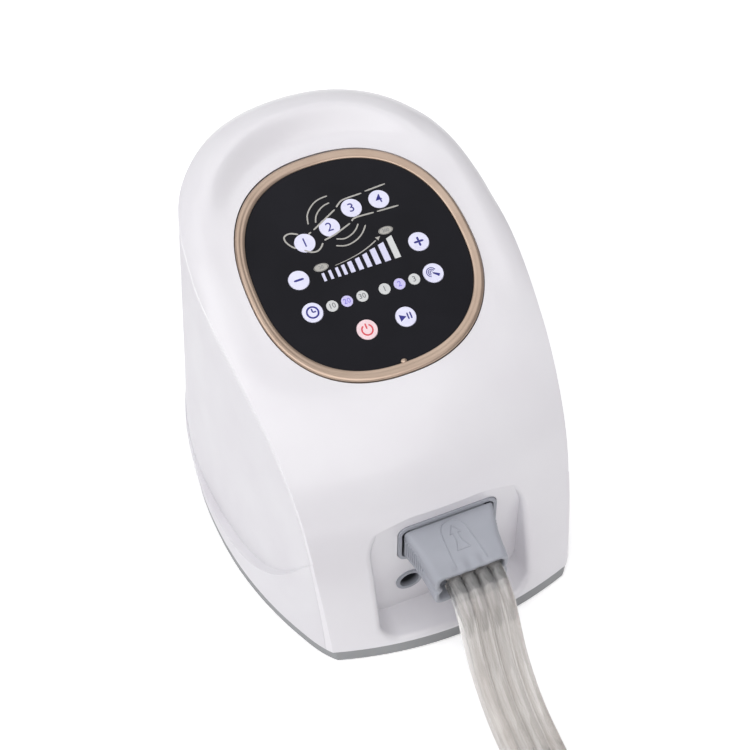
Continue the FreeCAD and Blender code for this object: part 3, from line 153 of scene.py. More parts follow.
def loft(name: str, rows: list[list[Vector]], loop: bool = False) -> Piece:
    """Join rings of points with faces.

    Args:
        name: the piece's name.
        rows: rings with the same number of points each, in millimetres.
        loop: whether the last ring joins the first; otherwise both ends are capped.

    Returns:
        The closed piece.
    """
    count, rings = len(rows[0]), len(rows)
    faces = []
    for i in range(rings if loop else rings - 1):
        here, after = i * count, (i + 1) % rings * count
        for k in range(count):
            nearby = (k + 1) % count
            faces.append((here + k, after + k, after + nearby, here + nearby))
    if not loop:
        faces += [tuple(range(count)), tuple((rings - 1) * count + k for k in reversed(range(count)))]
    piece = mesh_piece(name, [point * MM for row in rows for point in row], faces)
    face_outwards(piece)
    shade_by_angle(piece, SHARP)
    return piece


def rounded_reach(angle: float, half: float, tall: float, corner: float) -> float:
    """Reach of a rounded rectangle in a direction.

    Args:
        angle: the direction.
        half: half width.
        tall: half height.
        corner: corner radius.

    Returns:
        The distance from the middle.
    """
    c, s = abs(math.cos(angle)), abs(math.sin(angle))
    flat = min(half / c if c > 1e-9 else 1e9, tall / s if s > 1e-9 else 1e9)
    px, pz = flat * c, flat * s
    if px > half - corner and pz > tall - corner:
        mx, mz = half - corner, tall - corner
        along = mx * c + mz * s
        return along + math.sqrt(max(corner ** 2 - (mx * mx + mz * mz) + along ** 2, 0))
    return flat


def angles(count: int) -> list[float]:
    """Directions of points spread evenly round a middle line, in radians."""
    return [2 * math.pi * (k + 0.5) / count for k in range(count)]


def part_way(value: float, start: float, span: float) -> float:
    """How far a value has come over a span from a start, held between 0 and 1."""
    return min(max((value - start) / span, 0.0), 1.0)


def rounded_ring(middle: Vector, half: Pair, inset: float, corner: float, count: int) -> list[Vector]:
    """Points of a rounded rectangle that stands across the X axis.

    Args:
        middle: its middle.
        half: half depth and half height of the outermost one.
        inset: how far inside that it lies.
        corner: corner radius.
        count: number of points.

    Returns:
        The points.
    """
    row = []
    for angle in angles(count):
        radius = rounded_reach(angle, half[0] - inset, half[1] - inset, corner)
        row.append(middle + Vector((0, radius * math.cos(angle), radius * math.sin(angle))))
    return row


def headings(path: list[Pair], closed: bool) -> list[Pair]:
    """Unit directions of a path at each of its points.

    Args:
        path: its points.
        closed: whether it is a loop.

    Returns:
        One direction for each point.
    """
    made = []
    last = len(path) - 1
    for i in range(len(path)):
        before = path[i - 1] if i or closed else path[0]
        after = path[(i + 1) % len(path)] if i < last or closed else path[-1]
        dx, dy = after[0] - before[0], after[1] - before[1]
        long = math.hypot(dx, dy) or 1.0
        made.append((dx / long, dy / long))
    return made


def rib_section(foot: float, crest: float, out: float) -> list[Pair]:
    """Rounded section of a grip rib as its way along the grip and its lift.

    Args:
        foot: half width at the foot, which lies under the skin.
        crest: half width of the crest.
        out: height of the crest.

    Returns:
        The section from one foot over the crest to the other.
    """
    return [(-foot, -0.5), (-crest, 0.75 * out), (0.0, out), (crest, 0.75 * out), (foot, -0.5)]


def shade_by_angle(piece: Piece, degrees: float) -> None:
    """Shade smooth, with the edges that turn by more than an angle left sharp."""
    take(piece)
    bpy.ops.object.shade_smooth_by_angle(angle=math.radians(degrees))
    deselect()


def fasten(piece: Piece, body: str, slot: str, finish: "Finish", *nodes: str) -> None:
    """Give a finished piece its finish, its body and the frame's nodes that it stands for.

    Args:
        piece: the piece.
        body: the body that it moves with.
        slot: the record's material slot; not used.
        finish: its finish.
        nodes: nodes of the frame that it replaces.
    """
    piece.data.materials.clear()
    piece.data.materials.append(finish.material())
    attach(piece, body)
    if nodes:
        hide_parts(*nodes)


# --- finishes -------------------------------------------------------------------------------


Marks = tuple[Socket, str]


@dataclass(frozen=True)
class Finish:
    """A finish with a main shade, a weak mottle, a fine relief and a gloss.

    Args:
        name: what the surface is and how it was made.
        colour: its shade.
        other: the shade that the mottle leads to.
        mottle_mm: size of the mottle.
        grain_mm: size of the relief.
        grain_deep: strength of the relief.
        rough: roughness.
        rough_other: roughness at the other end of the mottle.
        metal: metallic share.
        coat: share of a clear gloss layer.
        ior: refractive index.
        through: share of light that goes through.
        glow: share of its own light.
        specular: level of the plain reflection.
        stretch: scale of the mottle and the relief along X, Y and Z.
    """

    name: str
    colour: str
    other: str
    mottle_mm: float = 30
    grain_mm: float = 0.8
    grain_deep: float = 0.05
    rough: float = 0.4
    rough_other: float = 0.5
    metal: float = 0.0
    coat: float = 0.0
    ior: float = 1.5
    through: float = 0.0
    glow: float = 0.0
    specular: float = 0.5
    stretch: Triple = (1, 1, 1)

    def material(self) -> bpy.types.Material:
        """Make the material, or give the one made before.

        Returns:
            The material.
        """
        known = bpy.data.materials.get(self.name)
        if known is not None and known.get("done"):
            return known
        made = bpy.data.materials.new(self.name)
        made["done"] = True
        made.use_nodes = True
        tree = made.node_tree
        tree.nodes.clear()
        place = add_node(tree, "TexCoord").outputs["Object"]
        turned = add_node(tree, "Mapping", {"in:Scale": self.stretch}, {"Vector": place})
        pattern = turned.outputs["Vector"]
        mottle = add_node(tree, "TexNoise",
                          {"in:Scale": 1 / (self.mottle_mm * MM), "in:Detail": 3.0}, {"Vector": pattern})
        tone = add_node(tree, "MapRange",
                        {"in:From Min": 0.3, "in:From Max": 0.7}, {"Value": mottle.outputs["Fac"]})
        mix = add_node(tree, "Mix",
                       {"data_type": "RGBA", "in:A": shade(self.colour), "in:B": shade(self.other)},
                       {"Factor": tone.outputs["Result"]})
        colour = dressed = mix.outputs["Result"]
        marks = self.marks(tree, place)
        if marks is not None:
            share, over = marks
            laid = add_node(tree, "Mix", {"data_type": "RGBA", "in:B": shade(over)},
                            {"Factor": share, "A": colour})
            dressed = laid.outputs["Result"]
        rough = add_node(tree, "MapRange", {"in:To Min": self.rough, "in:To Max": self.rough_other},
                         {"Value": mottle.outputs["Fac"]})
        grain = add_node(tree, "TexNoise",
                         {"in:Scale": 1 / (self.grain_mm * MM), "in:Detail": 2.0}, {"Vector": pattern})
        relief = add_node(tree, "Bump",
                          {"in:Strength": self.grain_deep, "in:Distance": 0.1 * self.grain_mm * MM},
                          {"Height": grain.outputs["Fac"]})
        shader = add_node(tree, "BsdfPrincipled",
                          {"in:Metallic": self.metal, "in:IOR": self.ior, "in:Coat Weight": self.coat,
                           "in:Coat Roughness": 0.08, "in:Transmission Weight": self.through,
                           "in:Specular IOR Level": self.specular},
                          {"Base Color": dressed, "Roughness": rough.outputs["Result"],
                           "Normal": relief.outputs["Normal"]})
        if self.glow:
            tree.links.new(colour, shader.inputs["Emission Color"])
            shader.inputs["Emission Strength"].default_value = self.glow
        add_node(tree, "OutputMaterial", links={"Surface": shader.outputs["BSDF"]})
        return made

    def marks(self, tree: Tree, place: Socket) -> Marks | None:
        """Find where a further shade lies over the mottle; the plain finish has none.

        Args:
            tree: the material's node tree.
            place: Object coordinates.

        Returns:
            The share of the further shade and the shade, or None.
        """
        return None


# What finishes share: size of mottle and relief in mm, depth of the relief, both ends of the roughness.
SILK = (18, 0.8, 0.10, 0.38, 0.46)
FROST = (5, 0.6, 0.02, 0.35, 0.4)
INK = (4, 0.3, 0.05, 0.5, 0.6)

# Gloss-moulded white ABS: a clean lavender white with a hard shine and a hint of orange peel.
WHITE_GLOSS = Finish("white_abs_gloss_moulded", "E9E8EC", "E5E3E8", 60, 3.0, 0.02, 0.26, 0.32, coat=0.35)
# The same ABS out of a spark-eroded mould: a fine even grain that takes the shine away.
WHITE_GRAIN = Finish("white_abs_spark_eroded", "E4E3E7", "DFDDE2", 40, 0.9, 0.3, 0.42, 0.5)
# Grey ABS of the base, satin from the mould.
GREY_ABS = Finish("grey_abs_moulded", "96989A", "8F9193", 25, 0.9, 0.12, 0.42, 0.5)
# Grey ABS of plug and socket, a little bluer, with a silky face.
PLUG_ABS = Finish("blue_grey_abs_moulded", "A8ABB4", "A1A4AD", *SILK)
# Natural rubber, dull with a powdery bloom.
RUBBER = Finish("grey_rubber_moulded", "4B4C50", "555659", 6, 0.6, 0.25, 0.7, 0.85)
# ABS plated in a champagne tone: metallic, with a satin shine.
CHAMPAGNE = Finish("champagne_plated_abs", "C2AD9C", "B8A291", 20, 0.5, 0.05, 0.27, 0.33, metal=0.85)
# Black screen-printed acrylic, flat with a soft reflection.
BLACK_ACRYLIC = Finish("black_acrylic_printed", "1D1D21", "222227", 45, 4.0, 0.01, 0.3, 0.36, specular=0.06)
# Frosted acrylic windows, lit softly from behind: cool white, and pink on the power key.
LIT_WINDOW = Finish("frosted_window_lit", "E2E2F6", "DADAF2", *FROST, glow=0.08)
POWER_WINDOW = Finish("frosted_window_power", "EFD6DB", "EBCFD5", *FROST, glow=0.08)
# Screen-printed inks, even and a little dull.
INK_NAVY = Finish("ink_navy_printed", "2E2C8E", "2A287F", *INK)
INK_VIOLET = Finish("ink_violet_printed", "8A7FE0", "8378DA", *INK)
INK_RED = Finish("ink_red_printed", "E0555F", "D94E58", *INK)
INK_GREY = Finish("ink_grey_printed", "B6B4AF", "AFADA8", *INK)
INK_DARK = Finish("ink_dark_printed", "77797E", "707277", *INK)
# Moulded ABS of the barbs and of the black inside parts, satin with a fine grain.
BARB_ABS = Finish("grey_barb_moulded", "7F838B", "787C84", 4, 0.4, 0.05, 0.4, 0.5)
BLACK_ABS = Finish("black_abs_moulded", "26272A", "2D2E31", 15, 0.7, 0.15, 0.4, 0.55)
# Solder mask of the boards: green lacquer with a wet shine.
BOARD = Finish("green_solder_mask", "1F5B3A", "1A5134", 8, 1.2, 0.10, 0.3, 0.4, coat=0.2)
# Zinc-plated steel, bright and cool; enamelled copper wire, whose turns show as fine lines.
STEEL = Finish("zinc_plated_steel", "B9BCBF", "A9ACB0", 7, 0.4, 0.06, 0.28, 0.42, metal=1.0)
COPPER = Finish("enamelled_copper_wound", "B5673A", "A45A30", 3, 0.5, 0.3, 0.3, 0.42, metal=0.8,
                stretch=(0.15, 1, 1))
# Silicone and polycarbonate, both milky, which let some light through.
SILICONE = Finish("clear_silicone_extruded", "D9D7D2", "CFCDC8", 10, 1.0, 0.06, 0.3, 0.4, through=0.25)
DIFFUSER = Finish("milky_polycarbonate", "E6E6E3", "DEDEDA", 12, 0.8, 0.06, 0.35, 0.45, through=0.15)
# Woven nylon loop tape, dull with a rough nap.
STRAP = Finish("nylon_loop_woven", "3A3C42", "2F3137", 2, 0.45, 0.6, 0.8, 0.95)


@dataclass(frozen=True)
class TubeFinish(Finish):
    """Clear soft PVC tube: milky, with the grey barbs showing through.

    Args:
        barb_near: depth at which a barb's shade starts, in metres along Y.
        barb_far: depth at which it ends.
        barb_fade: stretch over which it comes and goes.
        barb_share: how strongly it shows.
        barb_colour: the shade.
    """

    barb_near: float = -0.1470
    barb_far: float = -0.1575
    barb_fade: float = 0.0012
    barb_share: float = 0.45
    barb_colour: str = "6E747C"

    def marks(self, tree: Tree, place: Socket) -> Marks:
        """Darken the stretch where a barb sits inside the tube."""
        apart = add_node(tree, "SeparateXYZ", links={"Vector": place})
        near = add_node(tree, "MapRange",
                        {"in:From Min": self.barb_near, "in:From Max": self.barb_near - self.barb_fade},
                        {"Value": apart.outputs["Y"]})
        far = add_node(tree, "MapRange",
                       {"in:From Min": self.barb_far - self.barb_fade, "in:From Max": self.barb_far},
                       {"Value": apart.outputs["Y"]})
        both = add_node(tree, "Math", {"operation": "MULTIPLY"},
                        {"0": near.outputs["Result"], "1": far.outputs["Result"]})
        part = add_node(tree, "Math", {"operation": "MULTIPLY", "in:1": self.barb_share},
                        {"0": both.outputs["Value"]})
        return part.outputs["Value"], self.barb_colour


# The mottle runs to near white and is stretched along Y and Z into streaks along the tube: painted highlight.
CLEAR_TUBE = TubeFinish("clear_pvc_extruded", "E6E1DD", "FCFBF9", 1.3, 1.5, 0.05, 0.08, 0.14,
                        coat=0.6, through=0.74, ior=1.38, stretch=(1, 0.03, 0.03))


@dataclass(frozen=True)
class MarkedWindow(Finish):
    """Windows of one row, of which one stands out in another shade.

    Args:
        marked: middle of the window that stands out, in metres along X.
        reach: half width of the stretch.
        marked_colour: its shade.
    """

    marked: float = 0.0
    reach: float = 0.0045
    marked_colour: str = "CFC9F5"

    def marks(self, tree: Tree, place: Socket) -> Marks:
        """Give the marked window its own shade."""
        apart = add_node(tree, "SeparateXYZ", links={"Vector": place})
        away = add_node(tree, "Math", {"operation": "SUBTRACT", "in:1": self.marked},
                        {"0": apart.outputs["X"]})
        away = add_node(tree, "Math", {"operation": "ABSOLUTE"}, {"0": away.outputs["Value"]})
        near = add_node(tree, "Math", {"operation": "LESS_THAN", "in:1": self.reach},
                        {"0": away.outputs["Value"]})
        return near.outputs["Value"], self.marked_colour


@dataclass(frozen=True)
class PortFinish(Finish):
    """Grey ABS with painted shade in its bore, which lies behind the mouth of the port.

    Args:
        axis: place of the bore's middle line across and in height, in metres.
        bore: radius of the painted shade.
        mouth: depth at which it starts.
        fade: stretch over which it comes.
        dark: colour of the painted shade.
    """

    axis: Pair = (-0.022, 0.036)
    bore: float = 0.0063
    mouth: float = -0.1115
    fade: float = 0.003
    dark: str = "34363B"

    def marks(self, tree: Tree, place: Socket) -> Marks:
        """Paint shade into the bore."""
        flat = add_node(tree, "VectorMath", {"operation": "MULTIPLY", "in:1": (1, 0, 1)}, {"0": place})
        away = add_node(tree, "VectorMath",
                        {"operation": "DISTANCE", "in:1": (self.axis[0], 0, self.axis[1])},
                        {"0": flat.outputs["Vector"]})
        near = add_node(tree, "Math", {"operation": "LESS_THAN", "in:1": self.bore},
                        {"0": away.outputs["Value"]})
        apart = add_node(tree, "SeparateXYZ", links={"Vector": place})
        deep = add_node(tree, "MapRange", {"in:From Min": self.mouth, "in:From Max": self.mouth + self.fade},
                        {"Value": apart.outputs["Y"]})
        both = add_node(tree, "Math", {"operation": "MULTIPLY"},
                        {"0": near.outputs["Value"], "1": deep.outputs["Result"]})
        return both.outputs["Value"], self.dark


# Plug grey ABS with painted shade darkening the spare port's bore.
PORT_ABS_BORE_SHADE = PortFinish("blue_grey_abs_painted_bore_shade", "A8ABB4", "A1A4AD", *SILK)
TIME_WINDOWS = MarkedWindow("time_windows_printed", "D6D8D9", "D0D2D3", *FROST, marked=-0.0161)
MODE_WINDOWS = MarkedWindow("mode_windows_printed", "D6D8D9", "D0D2D3", *FROST, marked=0.0160)
LEVEL_WINDOWS = MarkedWindow("level_windows_lit", "DEDEF8", "DADAF4", *FROST, marked=0.0217, reach=0.0025,
                             marked_colour="D8DADB")


# --- stage ----------------------------------------------------------------------------------


@dataclass
class Stage:
    """Pale floor and wall, soft lamps and the camera.

    Args:
        eye: place of the camera.
        look: unit direction in which it looks.
        lens: focal length in millimetres on a 36 mm sensor.
        aim: the point that all lamps face.
        paper_glow: how brightly the paper shows itself.
    """

    eye: Triple = (-0.2920, -0.6778, 0.9982)
    look: Triple = (0.2529, 0.5763, -0.7771)
    lens: float = 94.26
    aim: Triple = (0, 0, 0.1)
    paper_glow: float = 0.42

    def stand(self, name: str, data: bpy.types.ID, place: Triple, way: Vector) -> Piece:
        """Set up a camera or a lamp.

        Args:
            name: its name.
            data: the camera or the light.
            place: where it stands.
            way: the way it looks or shines.

        Returns:
            The linked object.
        """
        made = bpy.data.objects.new(name, data)
        made.location = place
        made.rotation_mode = "QUATERNION"
        made.rotation_quaternion = way.to_track_quat("-Z", "Y")
        bpy.context.scene.collection.objects.link(made)
        return made

    def camera(self) -> None:
        """Make the camera and set it as the scene's."""
        data = bpy.data.cameras.new("camera")
        data.lens = self.lens
        data.sensor_width = 36
        data.clip_start, data.clip_end = 0.02, 50
        bpy.context.scene.camera = self.stand("camera", data, self.eye, Vector(self.look))

    def paper(self) -> bpy.types.Material:
        """White seamless paper that glows only where it is seen, mirrored or looked at through a tube.

        Returns:
            The material, on which the object's shadow stays.
        """
        made = bpy.data.materials.new("white_paper_seamless")
        made.use_nodes = True
        tree = made.node_tree
        tree.nodes.clear()
        place = add_node(tree, "TexCoord").outputs["Object"]
        fibre = add_node(tree, "TexNoise", {"in:Scale": 900.0}, {"Vector": place})
        relief = add_node(tree, "Bump", {"in:Strength": 0.02, "in:Distance": 0.0002},
                          {"Height": fibre.outputs["Fac"]})
        path = add_node(tree, "LightPath").outputs
        seen = path["Is Camera Ray"]
        for ray in ("Is Glossy Ray", "Is Transmission Ray"):
            either = add_node(tree, "Math", {"operation": "MAXIMUM"}, {"0": seen, "1": path[ray]})
            seen = either.outputs["Value"]
        glow = add_node(tree, "Math", {"operation": "MULTIPLY", "in:1": self.paper_glow}, {"0": seen})
        shader = add_node(tree, "BsdfPrincipled",
                          {"in:Base Color": shade("FBFBFC"), "in:Roughness": 0.9,
                           "in:Specular IOR Level": 0.1, "in:Emission Color": (1, 1, 1, 1)},
                          {"Normal": relief.outputs["Normal"], "Emission Strength": glow.outputs["Value"]})
        add_node(tree, "OutputMaterial", links={"Surface": shader.outputs["BSDF"]})
        return made

    def lamp(self, name: str, place: Triple, size: float, power: float, colour: str = "FFFFFF") -> None:
        """Add a square soft lamp.

        Args:
            name: its name.
            place: where it stands.
            size: its side.
            power: its power in watts.
            colour: its shade.
        """
        data = bpy.data.lights.new(name, "AREA")
        data.size = size
        data.energy = power
        data.color = shade(colour)[:3]
        self.stand(name, data, place, Vector(self.aim) - Vector(place))

    def make(self) -> None:
        """Build camera, floor, wall, world and lamps."""
        self.camera()
        paper = self.paper()
        for name, corners in (("floor", ((-4, -4, 0), (4, -4, 0), (4, 4, 0), (-4, 4, 0))),
                              ("backdrop", ((-4, 4, 0), (4, 4, 0), (4, 4, 4), (-4, 4, 4)))):
            piece = mesh_piece(name, [Vector(corner) for corner in corners], [(0, 1, 2, 3)])
            piece.data.materials.append(paper)
        world = bpy.data.worlds.new("room")
        bpy.context.scene.world = world
        world.use_nodes = True
        back = world.node_tree.nodes["Background"]
        back.inputs["Color"].default_value = shade("FAF9FA")
        back.inputs["Strength"].default_value = 0.36
        self.lamp("key_lamp", (-1.3, -0.1, 1.3), 1.6, 11.4)
        self.lamp("fill_lamp", (-0.25, -1.25, 1.55), 1.8, 16, "FFFDFD")
        self.lamp("top_lamp", (0.1, 0.6, 1.9), 1.8, 8.4)
        bpy.context.scene.view_settings.view_transform = "Standard"


# --- the hose -------------------------------------------------------------------------------


@dataclass
class Hose:
    """Eight clear air tubes from the plug down to the table and into a coil with their connector.

    Args:
        route: depth and height of the bundle's middle from the plug to the table.
        pitch: distance from tube to tube.
        diameter: outer diameter of a tube.
        centre: middle of the coil on the table.
        gap: air under the lowest tube.
        turn_start: depth at which the flat bundle starts to turn on edge.
        turn_long: how far it runs until it stands on edge.
        turn_steps: stations on that way.
        coil_start: radius of the coil where it starts.
        coil_step: how much the radius shrinks in a turn.
        coil_turn: degrees that the coil runs.
        coil_between: degrees between two of its stations.
        coil_lift: height of its middle.
        entry: places of the last stations, which lead into the connector.
        length: length of a tube; not used.
        side: how far the bundle leaves the plug to the right of the pump's middle.
    """

    route: tuple[Pair, ...] = (
        (-0.1445, 0.0745), (-0.1530, 0.0743), (-0.1640, 0.0660), (-0.1725, 0.0510), (-0.1850, 0.0335),
        (-0.2080, 0.0170), (-0.2340, 0.0118))
    pitch: float = 0.0084
    diameter: float = 0.008
    centre: Pair = (-0.092, -0.338)
    gap: float = 0.0012
    turn_start: float = -0.240
    turn_long: float = 0.090
    turn_steps: int = 7
    coil_start: float = 0.092
    coil_step: float = 0.017
    coil_turn: int = 570
    coil_between: int = 20
    coil_lift: float = 0.0182
    entry: tuple[Pair, ...] = ((-0.133, -0.3035), (-0.1225, -0.2995), (-0.1145, -0.2985))
    length: float = 1.03
    side: float = 0.0012

    def places(self) -> list[Pair]:
        """Offsets of the eight tubes across the flat bundle and through it."""
        return [(self.pitch * (i - 1.5), self.pitch * (j - 0.5)) for j in range(2) for i in range(4)]

    def frames(self) -> list[tuple[Vector, Vector, Vector]]:
        """Middle of the bundle with its two cross directions at every station of the route.

        Returns:
            Point, direction across and direction through the bundle.
        """
        made = []
        side = Vector((1, 0, 0))
        for i, (y, z) in enumerate(self.route):
            before = self.route[max(i - 1, 0)]
            after = self.route[min(i + 1, len(self.route) - 1)]
            along = Vector((0, after[0] - before[0], after[1] - before[1])).normalized()
            if i == 0:
                along = Vector((0, -1, 0))
            made.append((Vector((self.side, y, z)), side, along.cross(side) * -1))
        for i in range(1, self.turn_steps + 1):
            share = i / self.turn_steps
            turn = math.radians(90) * share
            y = self.turn_start - self.turn_long * share
            lift = self.gap + self.diameter / 2 + self.pitch * (1.5 * math.sin(turn) + 0.5 * math.cos(turn))
            across = Vector((math.cos(turn), 0, math.sin(turn)))
            through = Vector((-math.sin(turn), 0, math.cos(turn)))
            made.append((Vector((self.side * (1 - share), y, lift)), across, through))
        return made + self.coil()

    def coil(self) -> list[tuple[Vector, Vector, Vector]]:
        """Stations of the spiral, wound inwards, and of the way into the connector."""
        made = []
        cx, cy = self.centre
        for degrees in range(self.coil_between // 2, self.coil_turn + 1, self.coil_between):
            angle = math.radians(-degrees)
            radius = self.coil_start - self.coil_step * degrees / 360
            out = Vector((math.cos(angle), math.sin(angle), 0))
            made.append((Vector((cx, cy, self.coil_lift)) + out * radius, Vector((0, 0, 1)), -out))
        for x, y in self.entry:
            made.append((Vector((x, y, self.coil_lift)), Vector((0, 0, 1)), Vector((0, -1, 0))))
        return made

    def tube(self, name: str, points: list[Vector]) -> Piece:
        """Make one tube as an open NURBS curve.

        Args:
            name: the tube's name.
            points: its route.

        Returns:
            The curve object.
        """
        data = bpy.data.curves.new(name, "CURVE")
        data.dimensions = "3D"
        data.bevel_depth = self.diameter / 2
        data.bevel_resolution = 4
        data.resolution_u = 6
        data.use_fill_caps = True
        line = data.splines.new("NURBS")
        line.points.add(len(points) - 1)
        for target, point in zip(line.points, points):
            target.co = (*point, 1)
        line.order_u = 3
        line.use_endpoint_u = True
        piece = bpy.data.objects.new(name, data)
        bpy.context.scene.collection.objects.link(piece)
        return piece

    def make(self, far_pieces: list[Piece]) -> None:
        """Build the tubes and fasten each to the hose with its finish, in place of the frame's hose nodes.

        Args:
            far_pieces: the pieces of the connector at the far end; not used.
        """
        stations = self.frames()
        for number, (across, through) in enumerate(self.places(), start=1):
            points = [p + a * across + t * through for p, a, t in stations]
            piece = self.tube(f"air_tube_{number}", points)
            fasten(piece, "hose", "tube", CLEAR_TUBE, "hose_run", "hose_coil")
        log.info("hose: eight tubes")


# --- control panel --------------------------------------------------------------------------


@dataclass(frozen=True)
class PanelFace:
    """The panel's cylinder, which places points by their way across and up the slope.

    Args:
        depth: depth of the reference point, in millimetres as all sizes here.
        height: its height.
        slope: slope of the panel there, in degrees.
        radius: radius of the cylinder.
        glass: how far the glass lies under the cylinder.
    """

    depth: float = -10
    height: float = 173
    slope: float = 19
    radius: float = 476
    glass: float = -0.7

    def at(self, across: float, up: float, lift: float = 0.0) -> Vector:
        """Find a point on or over the panel.

        Args:
            across: millimetres to the right.
            up: millimetres up the slope.
            lift: millimetres out of the cylinder.

        Returns:
            The point in metres.
        """
        start = math.radians(self.slope)
        end = start - up / self.radius
        y = self.depth + self.radius * (math.sin(start) - math.sin(end)) - lift * math.sin(end)
        z = self.height + self.radius * (math.cos(end) - math.cos(start)) + lift * math.cos(end)
        return Vector((across, y, z)) * MM


PANEL = PanelFace()


@dataclass
class Print:
    """Raised ink on the panel, gathered as thin strokes and letters into one piece.

    Args:
        name: the piece's name.
        thick: thickness of the ink in millimetres.
        base: how far its foot lies out of the panel's cylinder.
        points: the points gathered so far, in metres.
        faces: their faces.
    """

    name: str
    thick: float = 0.06
    base: float = PANEL.glass
    points: list[Vector] = field(default_factory=list)
    faces: list[Face] = field(default_factory=list)

    def strip(self, rows: list[tuple[Pair, Pair]], closed: bool = False) -> None:
        """Add a closed strip given by its left and right points.

        Args:
            rows: pairs of panel points, left and right.
            closed: whether the strip runs back into its start.
        """
        first = len(self.points)
        for left, right in rows:
            for spot in (left, right):
                self.points.append(PANEL.at(*spot, self.base))
                self.points.append(PANEL.at(*spot, self.base + self.thick))
        count = len(rows)
        for i in range(count if closed else count - 1):
            a, b = first + 4 * i, first + 4 * ((i + 1) % count)
            self.faces += [(a + 1, b + 1, b + 3, a + 3), (a, a + 2, b + 2, b),
                           (a, b, b + 1, a + 1), (a + 2, a + 3, b + 3, b + 2)]
        if not closed:
            last = first + 4 * (count - 1)
            self.faces += [(first, first + 1, first + 3, first + 2), (last, last + 2, last + 3, last + 1)]

    def stroke(self, line: list[Pair], width: float, ends: float | None = None) -> None:
        """Add a stroke of even width along a smooth line.

        Args:
            line: points of the line.
            width: its width.
            ends: width at the far end where it tapers.
        """
        path = smooth_line(line)
        last = len(path) - 1
        rows = []
        for i, ((x, y), (dx, dy)) in enumerate(zip(path, headings(path, False))):
            half = 0.5 * (width + ((ends if ends is not None else width) - width) * (i / last))
            if i in (0, last):
                half *= 0.6
            rows.append(((x - dy * half, y + dx * half), (x + dy * half, y - dx * half)))
        self.strip(rows)

    def ring(self, middle: Pair, radius: float, width: float, start: float = 0,
             end: float = 360, flat: float = 1.0) -> None:
        """Add a ring or an arc.

        Args:
            middle: its middle.
            radius: radius of its middle line.
            width: width of the stroke.
            start: first angle in degrees from the right.
            end: last angle.
            flat: height over width.
        """
        steps = max(8, int(abs(end - start) / 9))
        whole = abs(end - start) >= 360
        rows = []
        for i in range(steps if whole else steps + 1):
            angle = math.radians(start + (end - start) * i / steps)
            c, s = math.cos(angle), math.sin(angle) * flat
            rows.append(tuple((middle[0] + c * reach, middle[1] + s * reach)
                              for reach in (radius - width / 2, radius + width / 2)))
        self.strip(rows, whole)

    def letters(self, text: str, middle: Pair, high: float, bold: float = 0.02) -> None:
        """Add plain numbers.

        Args:
            text: the numbers.
            middle: middle of the text.
            high: height of a figure.
            bold: how much the strokes are widened, in font units.
        """
        deselect()
        bpy.ops.object.text_add(location=(0, 0, 0))
        words = bpy.context.active_object
        words.data.body = text
        words.data.size = high / FIGURE
        words.data.align_x = "CENTER"
        words.data.align_y = "CENTER"
        words.data.offset = bold
        words.data.extrude = self.thick / 2
        words.data.resolution_u = 3
        take(words)
        bpy.ops.object.convert(target="MESH")
        words = bpy.context.active_object
        first = len(self.points)
        for vertex in words.data.vertices:
            x, y, lift = vertex.co
            self.points.append(PANEL.at(middle[0] + x, middle[1] + y, self.base + self.thick / 2 + lift))
        self.faces += [tuple(first + i for i in face.vertices) for face in words.data.polygons]
        bpy.data.objects.remove(words)

    def make(self, finish: Finish, slot: str, body: str = "housing") -> None:
        """Turn what was gathered into a piece.

        Args:
            finish: its ink.
            slot: the record's material slot.
            body: the body that it moves with.
        """
        piece = mesh_piece(self.name, self.points, self.faces)
        face_outwards(piece)
        fasten(piece, body, slot, finish)


def smooth_line(line: list[Pair], steps: int = 6) -> list[Pair]:
    """Run a smooth line through points.

    Args:
        line: the points.
        steps: pieces between two points.

    Returns:
        The points of the smooth line.
    """
    if len(line) < 3:
        (ax, ay), (bx, by) = line
        return [(ax + (bx - ax) * i / steps, ay + (by - ay) * i / steps) for i in range(steps + 1)]
    last = len(line) - 1
    made = []
    for i in range(last):
        p = [line[max(i - 1, 0)], line[i], line[i + 1], line[min(i + 2, last)]]
        for k in range(steps):
            t = k / steps
            made.append(tuple(
                0.5 * (2 * p[1][a] + (p[2][a] - p[0][a]) * t
                       + (2 * p[0][a] - 5 * p[1][a] + 4 * p[2][a] - p[3][a]) * t * t
                       + (3 * p[1][a] - p[0][a] - 3 * p[2][a] + p[3][a]) * t ** 3) for a in (0, 1)))
    return [*made, line[-1]]


class Sign(Enum):
    """The plain signs on the keys."""

    MINUS = "minus"
    PLUS = "plus"
    TIME = "time"
    MODE = "mode"
    POWER = "power"
    START = "start"


